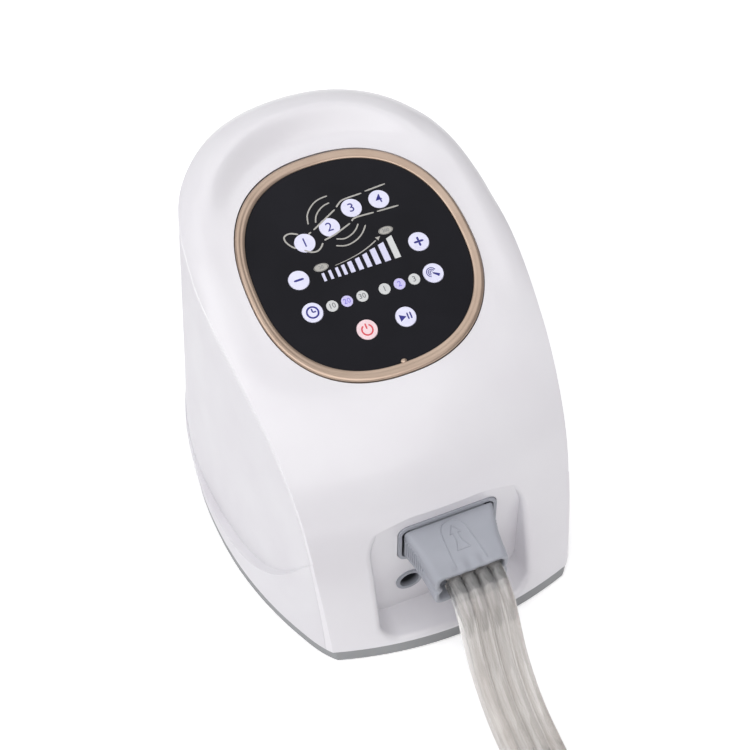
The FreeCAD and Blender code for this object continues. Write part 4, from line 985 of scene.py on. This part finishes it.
@dataclass
class KeySigns:
    """One plain sign on each key, which moves with it.

    Args:
        places: the keys' signs with their middles on the panel.
        bar: width of the strokes of plus and minus.
        arm: half length of those strokes.
        hand: width of the clock's hands and of the two bars beside the triangle.
    """

    places: dict[Sign, Pair] = field(default_factory=lambda: {
        Sign.MINUS: (-36.8, 20.4), Sign.PLUS: (36.8, 20.4), Sign.TIME: (-36.9, -0.6),
        Sign.MODE: (36.9, -0.6), Sign.POWER: (-11.8, -20.1), Sign.START: (11.8, -20.1)})
    bar: float = 1.25
    arm: float = 2.9
    hand: float = 0.85

    def draw(self, sign: Sign, ink: Print) -> None:
        """Draw one sign.

        Args:
            sign: which one.
            ink: the print that it goes into.
        """
        x, y = self.places[sign]
        if sign in (Sign.MINUS, Sign.PLUS):
            ink.stroke([(x - self.arm, y), (x + self.arm, y)], self.bar)
        if sign is Sign.PLUS:
            ink.stroke([(x, y - self.arm), (x, y - 0.65)], self.bar)
            ink.stroke([(x, y + 0.65), (x, y + self.arm)], self.bar)
        if sign is Sign.TIME:
            ink.ring((x, y), 3.3, 1.0)
            ink.stroke([(x, y + 2.3), (x, y)], self.hand)
            ink.stroke([(x, y), (x + 2.0, y)], self.hand)
        if sign is Sign.MODE:
            for radius in (0.8, 1.8, 2.8):
                ink.ring((x - 0.9, y + 0.7), radius, 0.5, 20, 250)
            ink.stroke([(x - 0.4, y + 0.2), (x + 1.6, y - 1.2), (x + 3.0, y - 2.3)], 0.7, 1.9)
        if sign is Sign.POWER:
            ink.ring((x, y - 0.2), 3.1, 0.9, 122, 418)
            ink.stroke([(x, y + 0.3), (x, y + 3.7)], 0.9)
        if sign is Sign.START:
            ink.strip([((x - 3.6, y + 2.1), (x - 3.6, y - 2.1)), ((x - 1.6, y + 1.0), (x - 1.6, y - 1.0)),
                       ((x + 0.2, y + 0.05), (x + 0.2, y - 0.05))])
            for bar in (1.2, 3.0):
                ink.stroke([(x + bar, y - 2.0), (x + bar, y + 2.0)], self.hand)

    def make(self) -> None:
        """Build the six signs."""
        for sign in Sign:
            ink = Print(f"sign_{sign.value}")
            self.draw(sign, ink)
            finish = INK_RED if sign is Sign.POWER else INK_NAVY
            ink.make(finish, "lit_window", f"key_{sign.value}_body")
        log.info("key signs: %d", len(Sign))


@dataclass
class PanelPrint:
    """Numbers in the windows and the line drawing of a limb, its waves and the rising level.

    Args:
        zones: middles of the four zone windows.
        times: middles of the time windows.
        modes: middles of the mode windows.
        limb_line: width of the limb's broken lines.
        wave_line: width of the waves.
    """

    zones: tuple[Pair, ...] = ((-24.8, 41.2), (-7.7, 46.0), (9.0, 53.7), (26.2, 53.8))
    times: tuple[Pair, ...] = ((-25.1, -0.6), (-16.1, -0.6), (-6.8, -0.6))
    modes: tuple[Pair, ...] = ((6.8, -0.6), (16.0, -0.6), (25.1, -0.6))
    limb_line: float = 0.95
    wave_line: float = 0.8

    def numbers(self) -> None:
        """Print plain numbers in the windows."""
        ink = Print("zone_numbers")
        for number, middle in enumerate(self.zones, start=1):
            ink.letters(str(number), middle, 5.6)
        ink.make(INK_NAVY, "lit_window")
        dim = Print("window_numbers_dim")
        lit = Print("window_numbers_lit")
        for texts, middles, high in ((("10", "20", "30"), self.times, 3.0),
                                     (("1", "2", "3"), self.modes, 3.2)):
            for text, middle in zip(texts, middles):
                (lit if text == texts[1] else dim).letters(text, middle, high, 0.015)
        dim.make(INK_DARK, "lit_window")
        lit.make(INK_VIOLET, "lit_window")

    def drawing(self) -> None:
        """Print the limb's outline in plain broken lines, the waves and the level's slope."""
        ink = Print("line_drawing", thick=0.05)
        limb = (
            [(-16.9, 47.4), (-8.6, 51.6), (-0.4, 55.9)],
            [(1.0, 57.0), (4.6, 59.7), (8.4, 60.6), (18.2, 60.9)],
            [(20.6, 61.4), (33.6, 62.2)],
            [(-13.6, 39.1), (-6.5, 40.6), (4.3, 44.4)],
            [(5.8, 45.5), (9.0, 46.9), (19.9, 46.5)],
            [(21.9, 46.4), (35.2, 46.0)],
            [(-20.9, 45.6), (-18.8, 46.6)],
            [(-26.8, 36.9), (-23.4, 34.4), (-20.0, 33.9), (-17.2, 35.4), (-15.2, 37.7)],
            [(-26.2, 47.6), (-30.6, 49.7), (-34.2, 48.8), (-34.8, 45.8), (-33.2, 42.2), (-30.9, 39.6)])
        waves = (
            [(-18.4, 51.8), (-16.4, 58.0), (-11.6, 63.0), (-6.6, 65.4), (-1.0, 66.0)],
            [(-14.0, 51.4), (-12.0, 55.6), (-8.4, 58.9), (-5.0, 60.6), (-1.6, 61.2)],
            [(-7.0, 37.6), (-2.2, 36.2), (2.8, 37.6), (6.3, 40.0), (8.5, 42.6)],
            [(-8.8, 33.6), (-3.2, 31.8), (3.1, 32.9), (8.3, 36.0), (12.2, 40.4)])
        for lines, width in ((limb, self.limb_line), (waves, self.wave_line)):
            for line in lines:
                ink.stroke(line, width)
        ink.stroke([(-14.2, 22.1), (-6.2, 23.0), (1.4, 24.5), (7.5, 26.4), (13.8, 29.1)], 0.28, 0.75)
        ink.strip([((14.1, 31.1), (15.3, 28.5)), ((15.7, 30.9), (16.2, 29.9)), ((17.2, 30.8), (17.2, 30.7))])
        figures = Print("oval_numbers", thick=0.03, base=PANEL.glass + 0.05)
        for text, middle in (("20", (-22.0, 23.6)), ("200", (21.7, 33.3))):
            ink.ring(middle, 2.0, 3.7, flat=0.55)
            ink.ring(middle, 4.25, 0.3, flat=0.55)
            figures.letters(text, middle, 2.0, 0.0)
        ink.make(INK_GREY, "black_glass")
        figures.make(INK_DARK, "black_glass")

    def make(self) -> None:
        """Print everything on the glass."""
        self.numbers()
        self.drawing()
        log.info("panel print: numbers and line drawing")


@dataclass
class BezelRing:
    """Rounded champagne ring round the glass, with the small tab at its foot.

    Args:
        half_in: half width of its opening.
        half_out: half width outside.
        up: inner and outer reach upwards from its middle.
        down: inner and outer reach downwards.
        middle: its middle, up the slope.
        power: exponent of the rounded outline.
        points: points round the ring.
        tab: middle of the tab across and up the slope.
        tab_radius: its radius, in metres.
        tab_sink: how deep its middle lies under the panel's cylinder.
    """

    half_in: float = 62.2
    half_out: float = 67.7
    up: Pair = (70.9, 77.2)
    down: Pair = (62.4, 69.0)
    middle: float = 17.6
    power: float = 2.32
    points: int = 220
    tab: Pair = (0.7, -44.1)
    tab_radius: float = 0.0019
    tab_sink: float = 0.35

    def outline(self, share: float, angle: float) -> Pair:
        """A point between the inner outline (0) and the outer outline (1)."""
        c, s = math.cos(angle), math.sin(angle)
        inner, outer = self.up if s > 0 else self.down
        half = self.half_in + (self.half_out - self.half_in) * share
        reach = inner + (outer - inner) * share
        return (half * math.copysign(abs(c) ** (2 / self.power), c),
                self.middle + reach * math.copysign(abs(s) ** (2 / self.power), s))

    def make(self) -> None:
        """Sweep the ring's section round the outline and add the tab."""
        section = ((0.0, -1.7), (0.0, -0.1), (0.03, 0.12), (0.09, 0.34), (0.2, 0.6), (0.32, 0.76),
                   (0.4, 0.72), (0.47, 0.8), (0.58, 1.02), (0.69, 1.1), (0.8, 1.02), (0.9, 0.76),
                   (0.96, 0.36), (1.0, -0.2), (1.0, -1.7))
        rows = [[PANEL.at(*self.outline(share, angle), lift) / MM for share, lift in section]
                for angle in angles(self.points)]
        fasten(loft("bezel_trim", rows, loop=True), "housing", "champagne", CHAMPAGNE, "bezel_ring")
        deselect()
        bpy.ops.mesh.primitive_uv_sphere_add(segments=24, ring_count=12, radius=self.tab_radius)
        tab = bpy.context.active_object
        tab.name = tab.data.name = "bezel_tab"
        bpy.ops.object.mode_set(mode="EDIT")
        bpy.ops.transform.resize(value=(1.0, 0.8, 0.5))
        bpy.ops.object.mode_set(mode="OBJECT")
        for vertex in tab.data.vertices:
            x, y, lift = vertex.co / MM
            vertex.co = PANEL.at(self.tab[0] + x, self.tab[1] + y, lift - self.tab_sink)
        shade_by_angle(tab, 60)
        fasten(tab, "housing", "champagne", CHAMPAGNE)
        log.info("bezel ring with its tab")


# --- plug -----------------------------------------------------------------------------------


@dataclass
class HosePlug:
    """The plug's grip with its scalloped tube end, grip ribs, arch and arrow.

    Args:
        sides: how far its middle line lies to the right of the pump's at the socket and at the tubes,
            in millimetres as all sizes here.
        face: depth of its back face at the socket.
        long: length of the grip.
        middle: height of its middle.
        wide: half width at the socket.
        narrow: half width at the tubes.
        half_high: half height.
        waist: how far the sides draw in between.
        lip: thickness of the wall round the tubes.
        pitch: distance between tubes.
        edge: length of the rounded edge at the tubes.
        groove: depth of the groove along each side.
        scallop: half depth of the dips between the tubes.
        points: points round the grip.
        stations: steps along it.
        core: width, length and height of the part in the socket, in metres.
        core_bevel: rounding of that part, in metres.
    """

    sides: Pair = (1.3, -0.9)
    face: float = -113.1
    long: float = 36.2
    middle: float = 74.5
    wide: float = 27.4
    narrow: float = 22.4
    half_high: float = 12.0
    waist: float = 0.9
    lip: float = 2.9
    pitch: float = 8.4
    edge: float = 1.0
    groove: float = 1.8
    scallop: float = 0.42
    points: int = 240
    stations: int = 28
    core: Triple = (0.0478, 0.0126, 0.0216)
    core_bevel: float = 0.0026

    def side(self, share: float) -> float:
        """Place of the middle line on the way from the socket (0) to the tubes (1)."""
        return self.sides[0] + (self.sides[1] - self.sides[0]) * share

    def reach(self, share: float, angle: float, inset: float = 0.0) -> float:
        """Reach of the grip's skin in a direction.

        Args:
            share: way along the grip from the socket (0) to the tubes (1).
            angle: the direction from its middle line.
            inset: how far inside the skin.

        Returns:
            The distance from the middle line.
        """
        # The sides and the faces draw in on the way, and the mouth flares a little over its last quarter.
        draw = math.sin(math.pi * min(share / 0.94, 1.0)) ** 1.2
        half = self.wide + (self.narrow - self.wide) * share - self.waist * draw - inset
        tall = self.half_high - 0.5 * draw + 0.5 * max(share - 0.75, 0) / 0.25 - inset
        plain = rounded_reach(angle, half, tall, max(2.6 + 2.0 * share - 0.5 * inset, 1.0))
        blend = part_way(share, 0.7, 0.25)
        blend = blend * blend * (3 - 2 * blend)
        x, z = plain * math.cos(angle), plain * math.sin(angle)
        # A groove runs along each side, and the mouth dips between the tubes above and below.
        groove = 0.0
        if abs(x) > half - 2.5:
            groove = self.groove * part_way(share, 0.3, 0.65) * math.exp(-(z / 1.9) ** 2)
        scallop = 0.0
        if abs(x) < 1.6 * self.pitch and abs(z) >= tall - 1.5:
            scallop = self.scallop * (1 + math.cos(2 * math.pi * x / self.pitch))
        return plain - groove - blend * scallop

    def make(self) -> None:
        """Build the grip with its lip and recess, then the insert, the raised lines and the ribs."""
        rows = []
        for i in range(self.stations + 1):
            share = i / self.stations
            rows.append(self.ring(share, self.face - (self.long - self.edge) * share))
        for inset, out in ((0.05, 0.5), (0.22, 0.85), (0.5, 1.0), (0.78, 0.85), (0.95, 0.5), (1, 0.0),
                           (1, -2.5), (1, -7.5)):
            rows.append(self.ring(1, self.face - self.long + self.edge - out, self.lip * inset))
        fasten(loft("plug_grip", rows), "hose", "plug_grey", PLUG_ABS, "hose_plug")
        self.insert()
        self.lines()
        self.ribs()
        log.info("hose plug")

    def ring(self, share: float, y: float, inset: float = 0.0) -> list[Vector]:
        """Points round the grip at a depth.

        Args:
            share: way along the grip from the socket (0) to the tubes (1).
            y: the depth.
            inset: how far inside the skin.

        Returns:
            The points.
        """
        row = []
        for angle in angles(self.points):
            radius = self.reach(share, angle, inset)
            row.append(Vector((self.side(share) + radius * math.cos(angle), y,
                               self.middle + radius * math.sin(angle))))
        return row

    def insert(self) -> None:
        """Add the part that goes into the socket."""
        deselect()
        place = Vector((self.side(0), self.face + 6.3, self.middle)) * MM
        bpy.ops.mesh.primitive_cube_add(size=1, location=place)
        core = bpy.context.active_object
        core.name = core.data.name = "plug_insert"
        bpy.ops.object.mode_set(mode="EDIT")
        bpy.ops.mesh.select_all(action="SELECT")
        bpy.ops.transform.resize(value=self.core)
        bpy.ops.object.mode_set(mode="OBJECT")
        bevel = core.modifiers.new("bevel", "BEVEL")
        bevel.width, bevel.segments = self.core_bevel, 5
        take(core)
        bpy.ops.object.modifier_apply(modifier="bevel")
        bpy.ops.object.transform_apply(location=True, rotation=True, scale=True)
        shade_by_angle(core, 40)
        fasten(core, "hose", "plug_grey", PLUG_ABS, "hose_plug")

    def top(self, x: float, y: float) -> Vector:
        """A point of the grip's upper face over a place, in millimetres."""
        share = part_way(self.face - y, 0, self.long - self.edge)
        best = self.half_high
        for _ in range(12):
            angle = math.atan2(best, x - self.side(share))
            best = self.reach(share, angle) * math.sin(angle)
        return Vector((x, y, self.middle + best))

    def lines(self) -> None:
        """Raise the arch and the plain arrow on the upper face."""
        arch = [(-9.2, -145.6), (-8.6, -136.0), (-7.9, -127.0), (-7.2, -120.6), (-4.6, -116.4), (0.2, -114.9),
                (4.9, -116.3), (7.7, -120.4), (8.5, -127.0), (9.3, -136.0), (10.0, -145.6)]
        arrow = [(0.2, -118.4), (3.6, -124.0), (1.7, -123.7), (1.9, -129.0), (4.4, -135.2), (-3.6, -135.2),
                 (-1.4, -129.0), (-1.2, -123.7), (-3.1, -124.0)]
        self.raised("plug_arch", smooth_line(arch), 0.7, 0.42, False)
        dense = []
        for i, (x, y) in enumerate(arrow):
            nx, ny = arrow[(i + 1) % len(arrow)]
            dense += [(x + (nx - x) * k / 4, y + (ny - y) * k / 4) for k in range(4)]
        self.raised("plug_arrow", dense, 0.6, 0.4, True)

    def raised(self, name: str, path: list[Pair], width: float, high: float, closed: bool) -> None:
        """Raise a rounded line on the upper face.

        Args:
            name: the piece's name.
            path: its middle line.
            width: its width.
            high: its height.
            closed: whether it is a loop.
        """
        section = ((-0.5, -0.5), (-0.5, 0.0), (-0.3, 0.75), (0.0, 1.0), (0.3, 0.75), (0.5, 0.0), (0.5, -0.5))
        rows = []
        for (x, y), (dx, dy) in zip(path, headings(path, closed)):
            rows.append([self.top(x - dy * side * width, y + dx * side * width) + Vector((0, 0, lift * high))
                         for side, lift in section])
        fasten(loft(name, rows, loop=closed), "hose", "plug_grey", PLUG_ABS)

    def ribs(self) -> None:
        """Add nine upright grip ribs on each side, as one piece a side."""
        for side, name in ((-1, "left"), (1, "right")):
            points, faces = [], []
            for i in range(9):
                y = self.face - 2.6 - 2.0 * i
                share = (self.face - y) / (self.long - self.edge)
                reach = self.reach(share, 0.0)
                first = len(points)
                for z, out in ((-6.4, -0.2), (-5.6, 0.9), (5.6, 0.9), (6.4, -0.2)):
                    for dy, lift in rib_section(0.62, 0.42, out):
                        spot = Vector((self.side(share) + side * (reach + lift), y + dy, self.middle + z))
                        points.append(spot * MM)
                for a in range(3):
                    for b in range(5):
                        p, q = first + 5 * a + b, first + 5 * a + (b + 1) % 5
                        faces.append((p, q, q + 5, p + 5))
                faces.append(tuple(first + b for b in range(5)))
                faces.append(tuple(first + 15 + b for b in reversed(range(5))))
            ribs = mesh_piece(f"plug_ribs_{name}", points, faces)
            face_outwards(ribs)
            shade_by_angle(ribs, SHARP)
            fasten(ribs, "hose", "plug_grey", PLUG_ABS)


@dataclass
class GarmentPlug:
    """Connector at the far end: a block with ribs, a pocket for the tubes and eight nipples.

    Args:
        centre: its middle, in millimetres as all sizes here.
        half: half thickness and half height.
        corner: radius of its long edges.
        pitch: distance between tubes.
        points: points round the block.
    """

    centre: Triple = (-92, -298.5, 18)
    half: Pair = (10, 18)
    corner: float = 3.6
    pitch: float = 8.4
    points: int = 160

    def make(self) -> list[Piece]:
        """Build the block with its ribs and nipples.

        Returns:
            The pieces.
        """
        profile = ((18.8, 2.3), (21.5, 2.2), (21.9, 1.9), (22.0, 1.3), (21.8, 0.6), (21.4, 0.2), (20.8, 0.0),
                   (9.4, 0.0), (9.1, 0.12), (8.9, 0.7), (7.3, 0.7), (7.1, 0.12), (6.8, 0.0), (2.0, 0.15),
                   (-3.0, 0.45), (-8.0, 0.7), (-13.0, 0.5), (-17.0, 0.12), (-20.6, 0.0), (-21.3, 0.1),
                   (-21.8, 0.45), (-22.0, 0.8), (-21.8, 1.1), (-21.4, 1.2), (-15.0, 1.2))
        centre = Vector(self.centre)
        pieces = [loft("garment_block", [
            rounded_ring(centre + Vector((x, 0, 0)), self.half, inset, max(self.corner - 0.5 * inset, 1.0),
                         self.points) for x, inset in profile])]
        fasten(pieces[0], "hose", "plug_grey", PLUG_ABS, "garment_plug")
        section = ((18.4, 1.5), (18.4, 2.8), (21.3, 2.6), (21.6, 2.3), (21.6, 1.8), (21.3, 1.5))
        for column in (-0.5, 0.5):
            for row in (-1.5, -0.5, 0.5, 1.5):
                foot = centre + Vector((0, column * self.pitch, row * self.pitch))
                turns = [2 * math.pi * k / 28 for k in range(28)]
                pieces.append(loft(f"garment_nipple_{len(pieces)}", [
                    [foot + Vector((x, r * math.cos(a), r * math.sin(a))) for x, r in section]
                    for a in turns], loop=True))
        for side in (-1, 1):
            for i in range(6):
                foot = centre + Vector((-15.4 + 2.6 * i, side * (self.half[0] - 0.7), 0))
                rows = [[foot + Vector((dx, side * lift, z)) for dx, lift in rib_section(0.8, 0.5, out)]
                        for z, out in ((-11.6, -0.3), (-11.2, 0.5), (-10.4, 0.9), (10.4, 0.9), (11.2, 0.5),
                                       (11.6, -0.3))]
                pieces.append(loft(f"garment_rib_{'left' if side < 0 else 'right'}_{i + 1}", rows))
        for piece in pieces[1:]:
            fasten(piece, "hose", "plug_grey", PLUG_ABS)
        log.info("garment connector: %d pieces", len(pieces))
        return pieces


@dataclass
class HoseTie:
    """Woven strap round the coil, closed by a tab that lies over its own end.

    Args:
        centre: middle of the loop, in millimetres as all sizes here.
        half: half depth and half height of the loop.
        corner: radius of its bends.
        wide: width of the strap.
        thick: its thickness.
        points: points round the loop.
    """

    centre: Triple = (-92, -414.6, 18.25)
    half: Pair = (25.3, 18.25)
    corner: float = 4.6
    wide: float = 18
    thick: float = 1.0
    points: int = 160

    def make(self) -> None:
        """Build the strap and its tab."""
        edge = self.wide / 2
        section = ((-edge, 0.3), (-edge + 0.5, 0.0), (edge - 0.5, 0.0), (edge, 0.3),
                   (edge, self.thick - 0.3), (edge - 0.5, self.thick), (-edge + 0.5, self.thick),
                   (-edge, self.thick - 0.3))
        rings = [rounded_ring(Vector(self.centre) + Vector((x, 0, 0)), self.half, deep, self.corner - deep,
                              self.points) for x, deep in section]
        rows = [list(row) for row in zip(*rings)]
        fasten(loft("tie_strap", rows, loop=True), "hose", "strap", STRAP, "hose_tie")
        top = self.centre[2] + self.half[1]
        rows = []
        for y, trim, high in ((-13.0, 2.4, 0.25), (-12.4, 0.9, 0.7), (-11.0, 0.0, 0.9), (8.0, 0.0, 0.9),
                              (10.5, 0.0, 0.8), (12.0, 0.4, 0.2)):
            half = edge - 0.4 - trim
            rows.append([Vector((self.centre[0] + x, self.centre[1] + y, top + z)) for x, z in
                         ((-half, -0.3), (half, -0.3), (half, 0.7 * high), (half - 0.5, high),
                          (0.5 - half, high), (-half, 0.7 * high))])
        fasten(loft("tie_tab", rows), "hose", "strap", STRAP)
        log.info("hose tie")


# --- carried-over nodes ---------------------------------------------------------------------


NODE_FINISHES = (
    (WHITE_GLOSS, "front_cover"),
    (WHITE_GRAIN, "rear_shell"),
    (GREY_ABS, "base_tray"),
    (RUBBER, "rubber_feet", "pump_diaphragms", "pump_mounts"),
    (PLUG_ABS, "hose_socket"),
    (PORT_ABS_BORE_SHADE, "spare_port"),
    (BARB_ABS, "plug_barbs"),
    (SILICONE, "socket_gasket", "pump_hoses", "socket_hoses"),
    (BLACK_ACRYLIC, "panel_glass"),
    (LIT_WINDOW, "zone_lenses", "key_minus", "key_plus", "key_time", "key_mode", "key_start"),
    (POWER_WINDOW, "key_power"),
    (TIME_WINDOWS, "time_lenses"),
    (MODE_WINDOWS, "mode_lenses"),
    (LEVEL_WINDOWS, "level_lenses"),
    (BLACK_ABS, "panel_carrier", "key_switches", "pump_heads", "control_parts", "supply_parts",
     "mains_inlet"),
    (BOARD, "key_board", "control_board", "supply_board"),
    (DIFFUSER, "panel_lamps", "light_spreader", "valve_body", "valve_rotor"),
    (COPPER, "pump_coils"),
    (STEEL, "pump_frame", "pump_armature", "valve_motor", "valve_bracket", "case_screws", "board_screws"),
)


def dress_nodes(frame: dict) -> None:
    """Give every node of the frame that stays in view its finish.

    Args:
        frame: the loaded frame.
    """
    dressed = 0
    for finish, *names in NODE_FINISHES:
        for name in names:
            node = frame["nodes"][name]
            node.data.materials.clear()
            node.data.materials.append(finish.material())
        dressed += len(names)
    log.info("nodes: %d dressed", dressed)


def main() -> None:
    """Load the frame and build the pump sub-assembly by sub-assembly."""
    logging.basicConfig(level=logging.INFO, format="%(name)s: %(message)s")
    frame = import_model()
    Stage().make()
    Hose().make(GarmentPlug().make())
    HoseTie().make()
    HosePlug().make()
    BezelRing().make()
    KeySigns().make()
    PanelPrint().make()
    dress_nodes(frame)


if __name__ == "__main__":
    main()
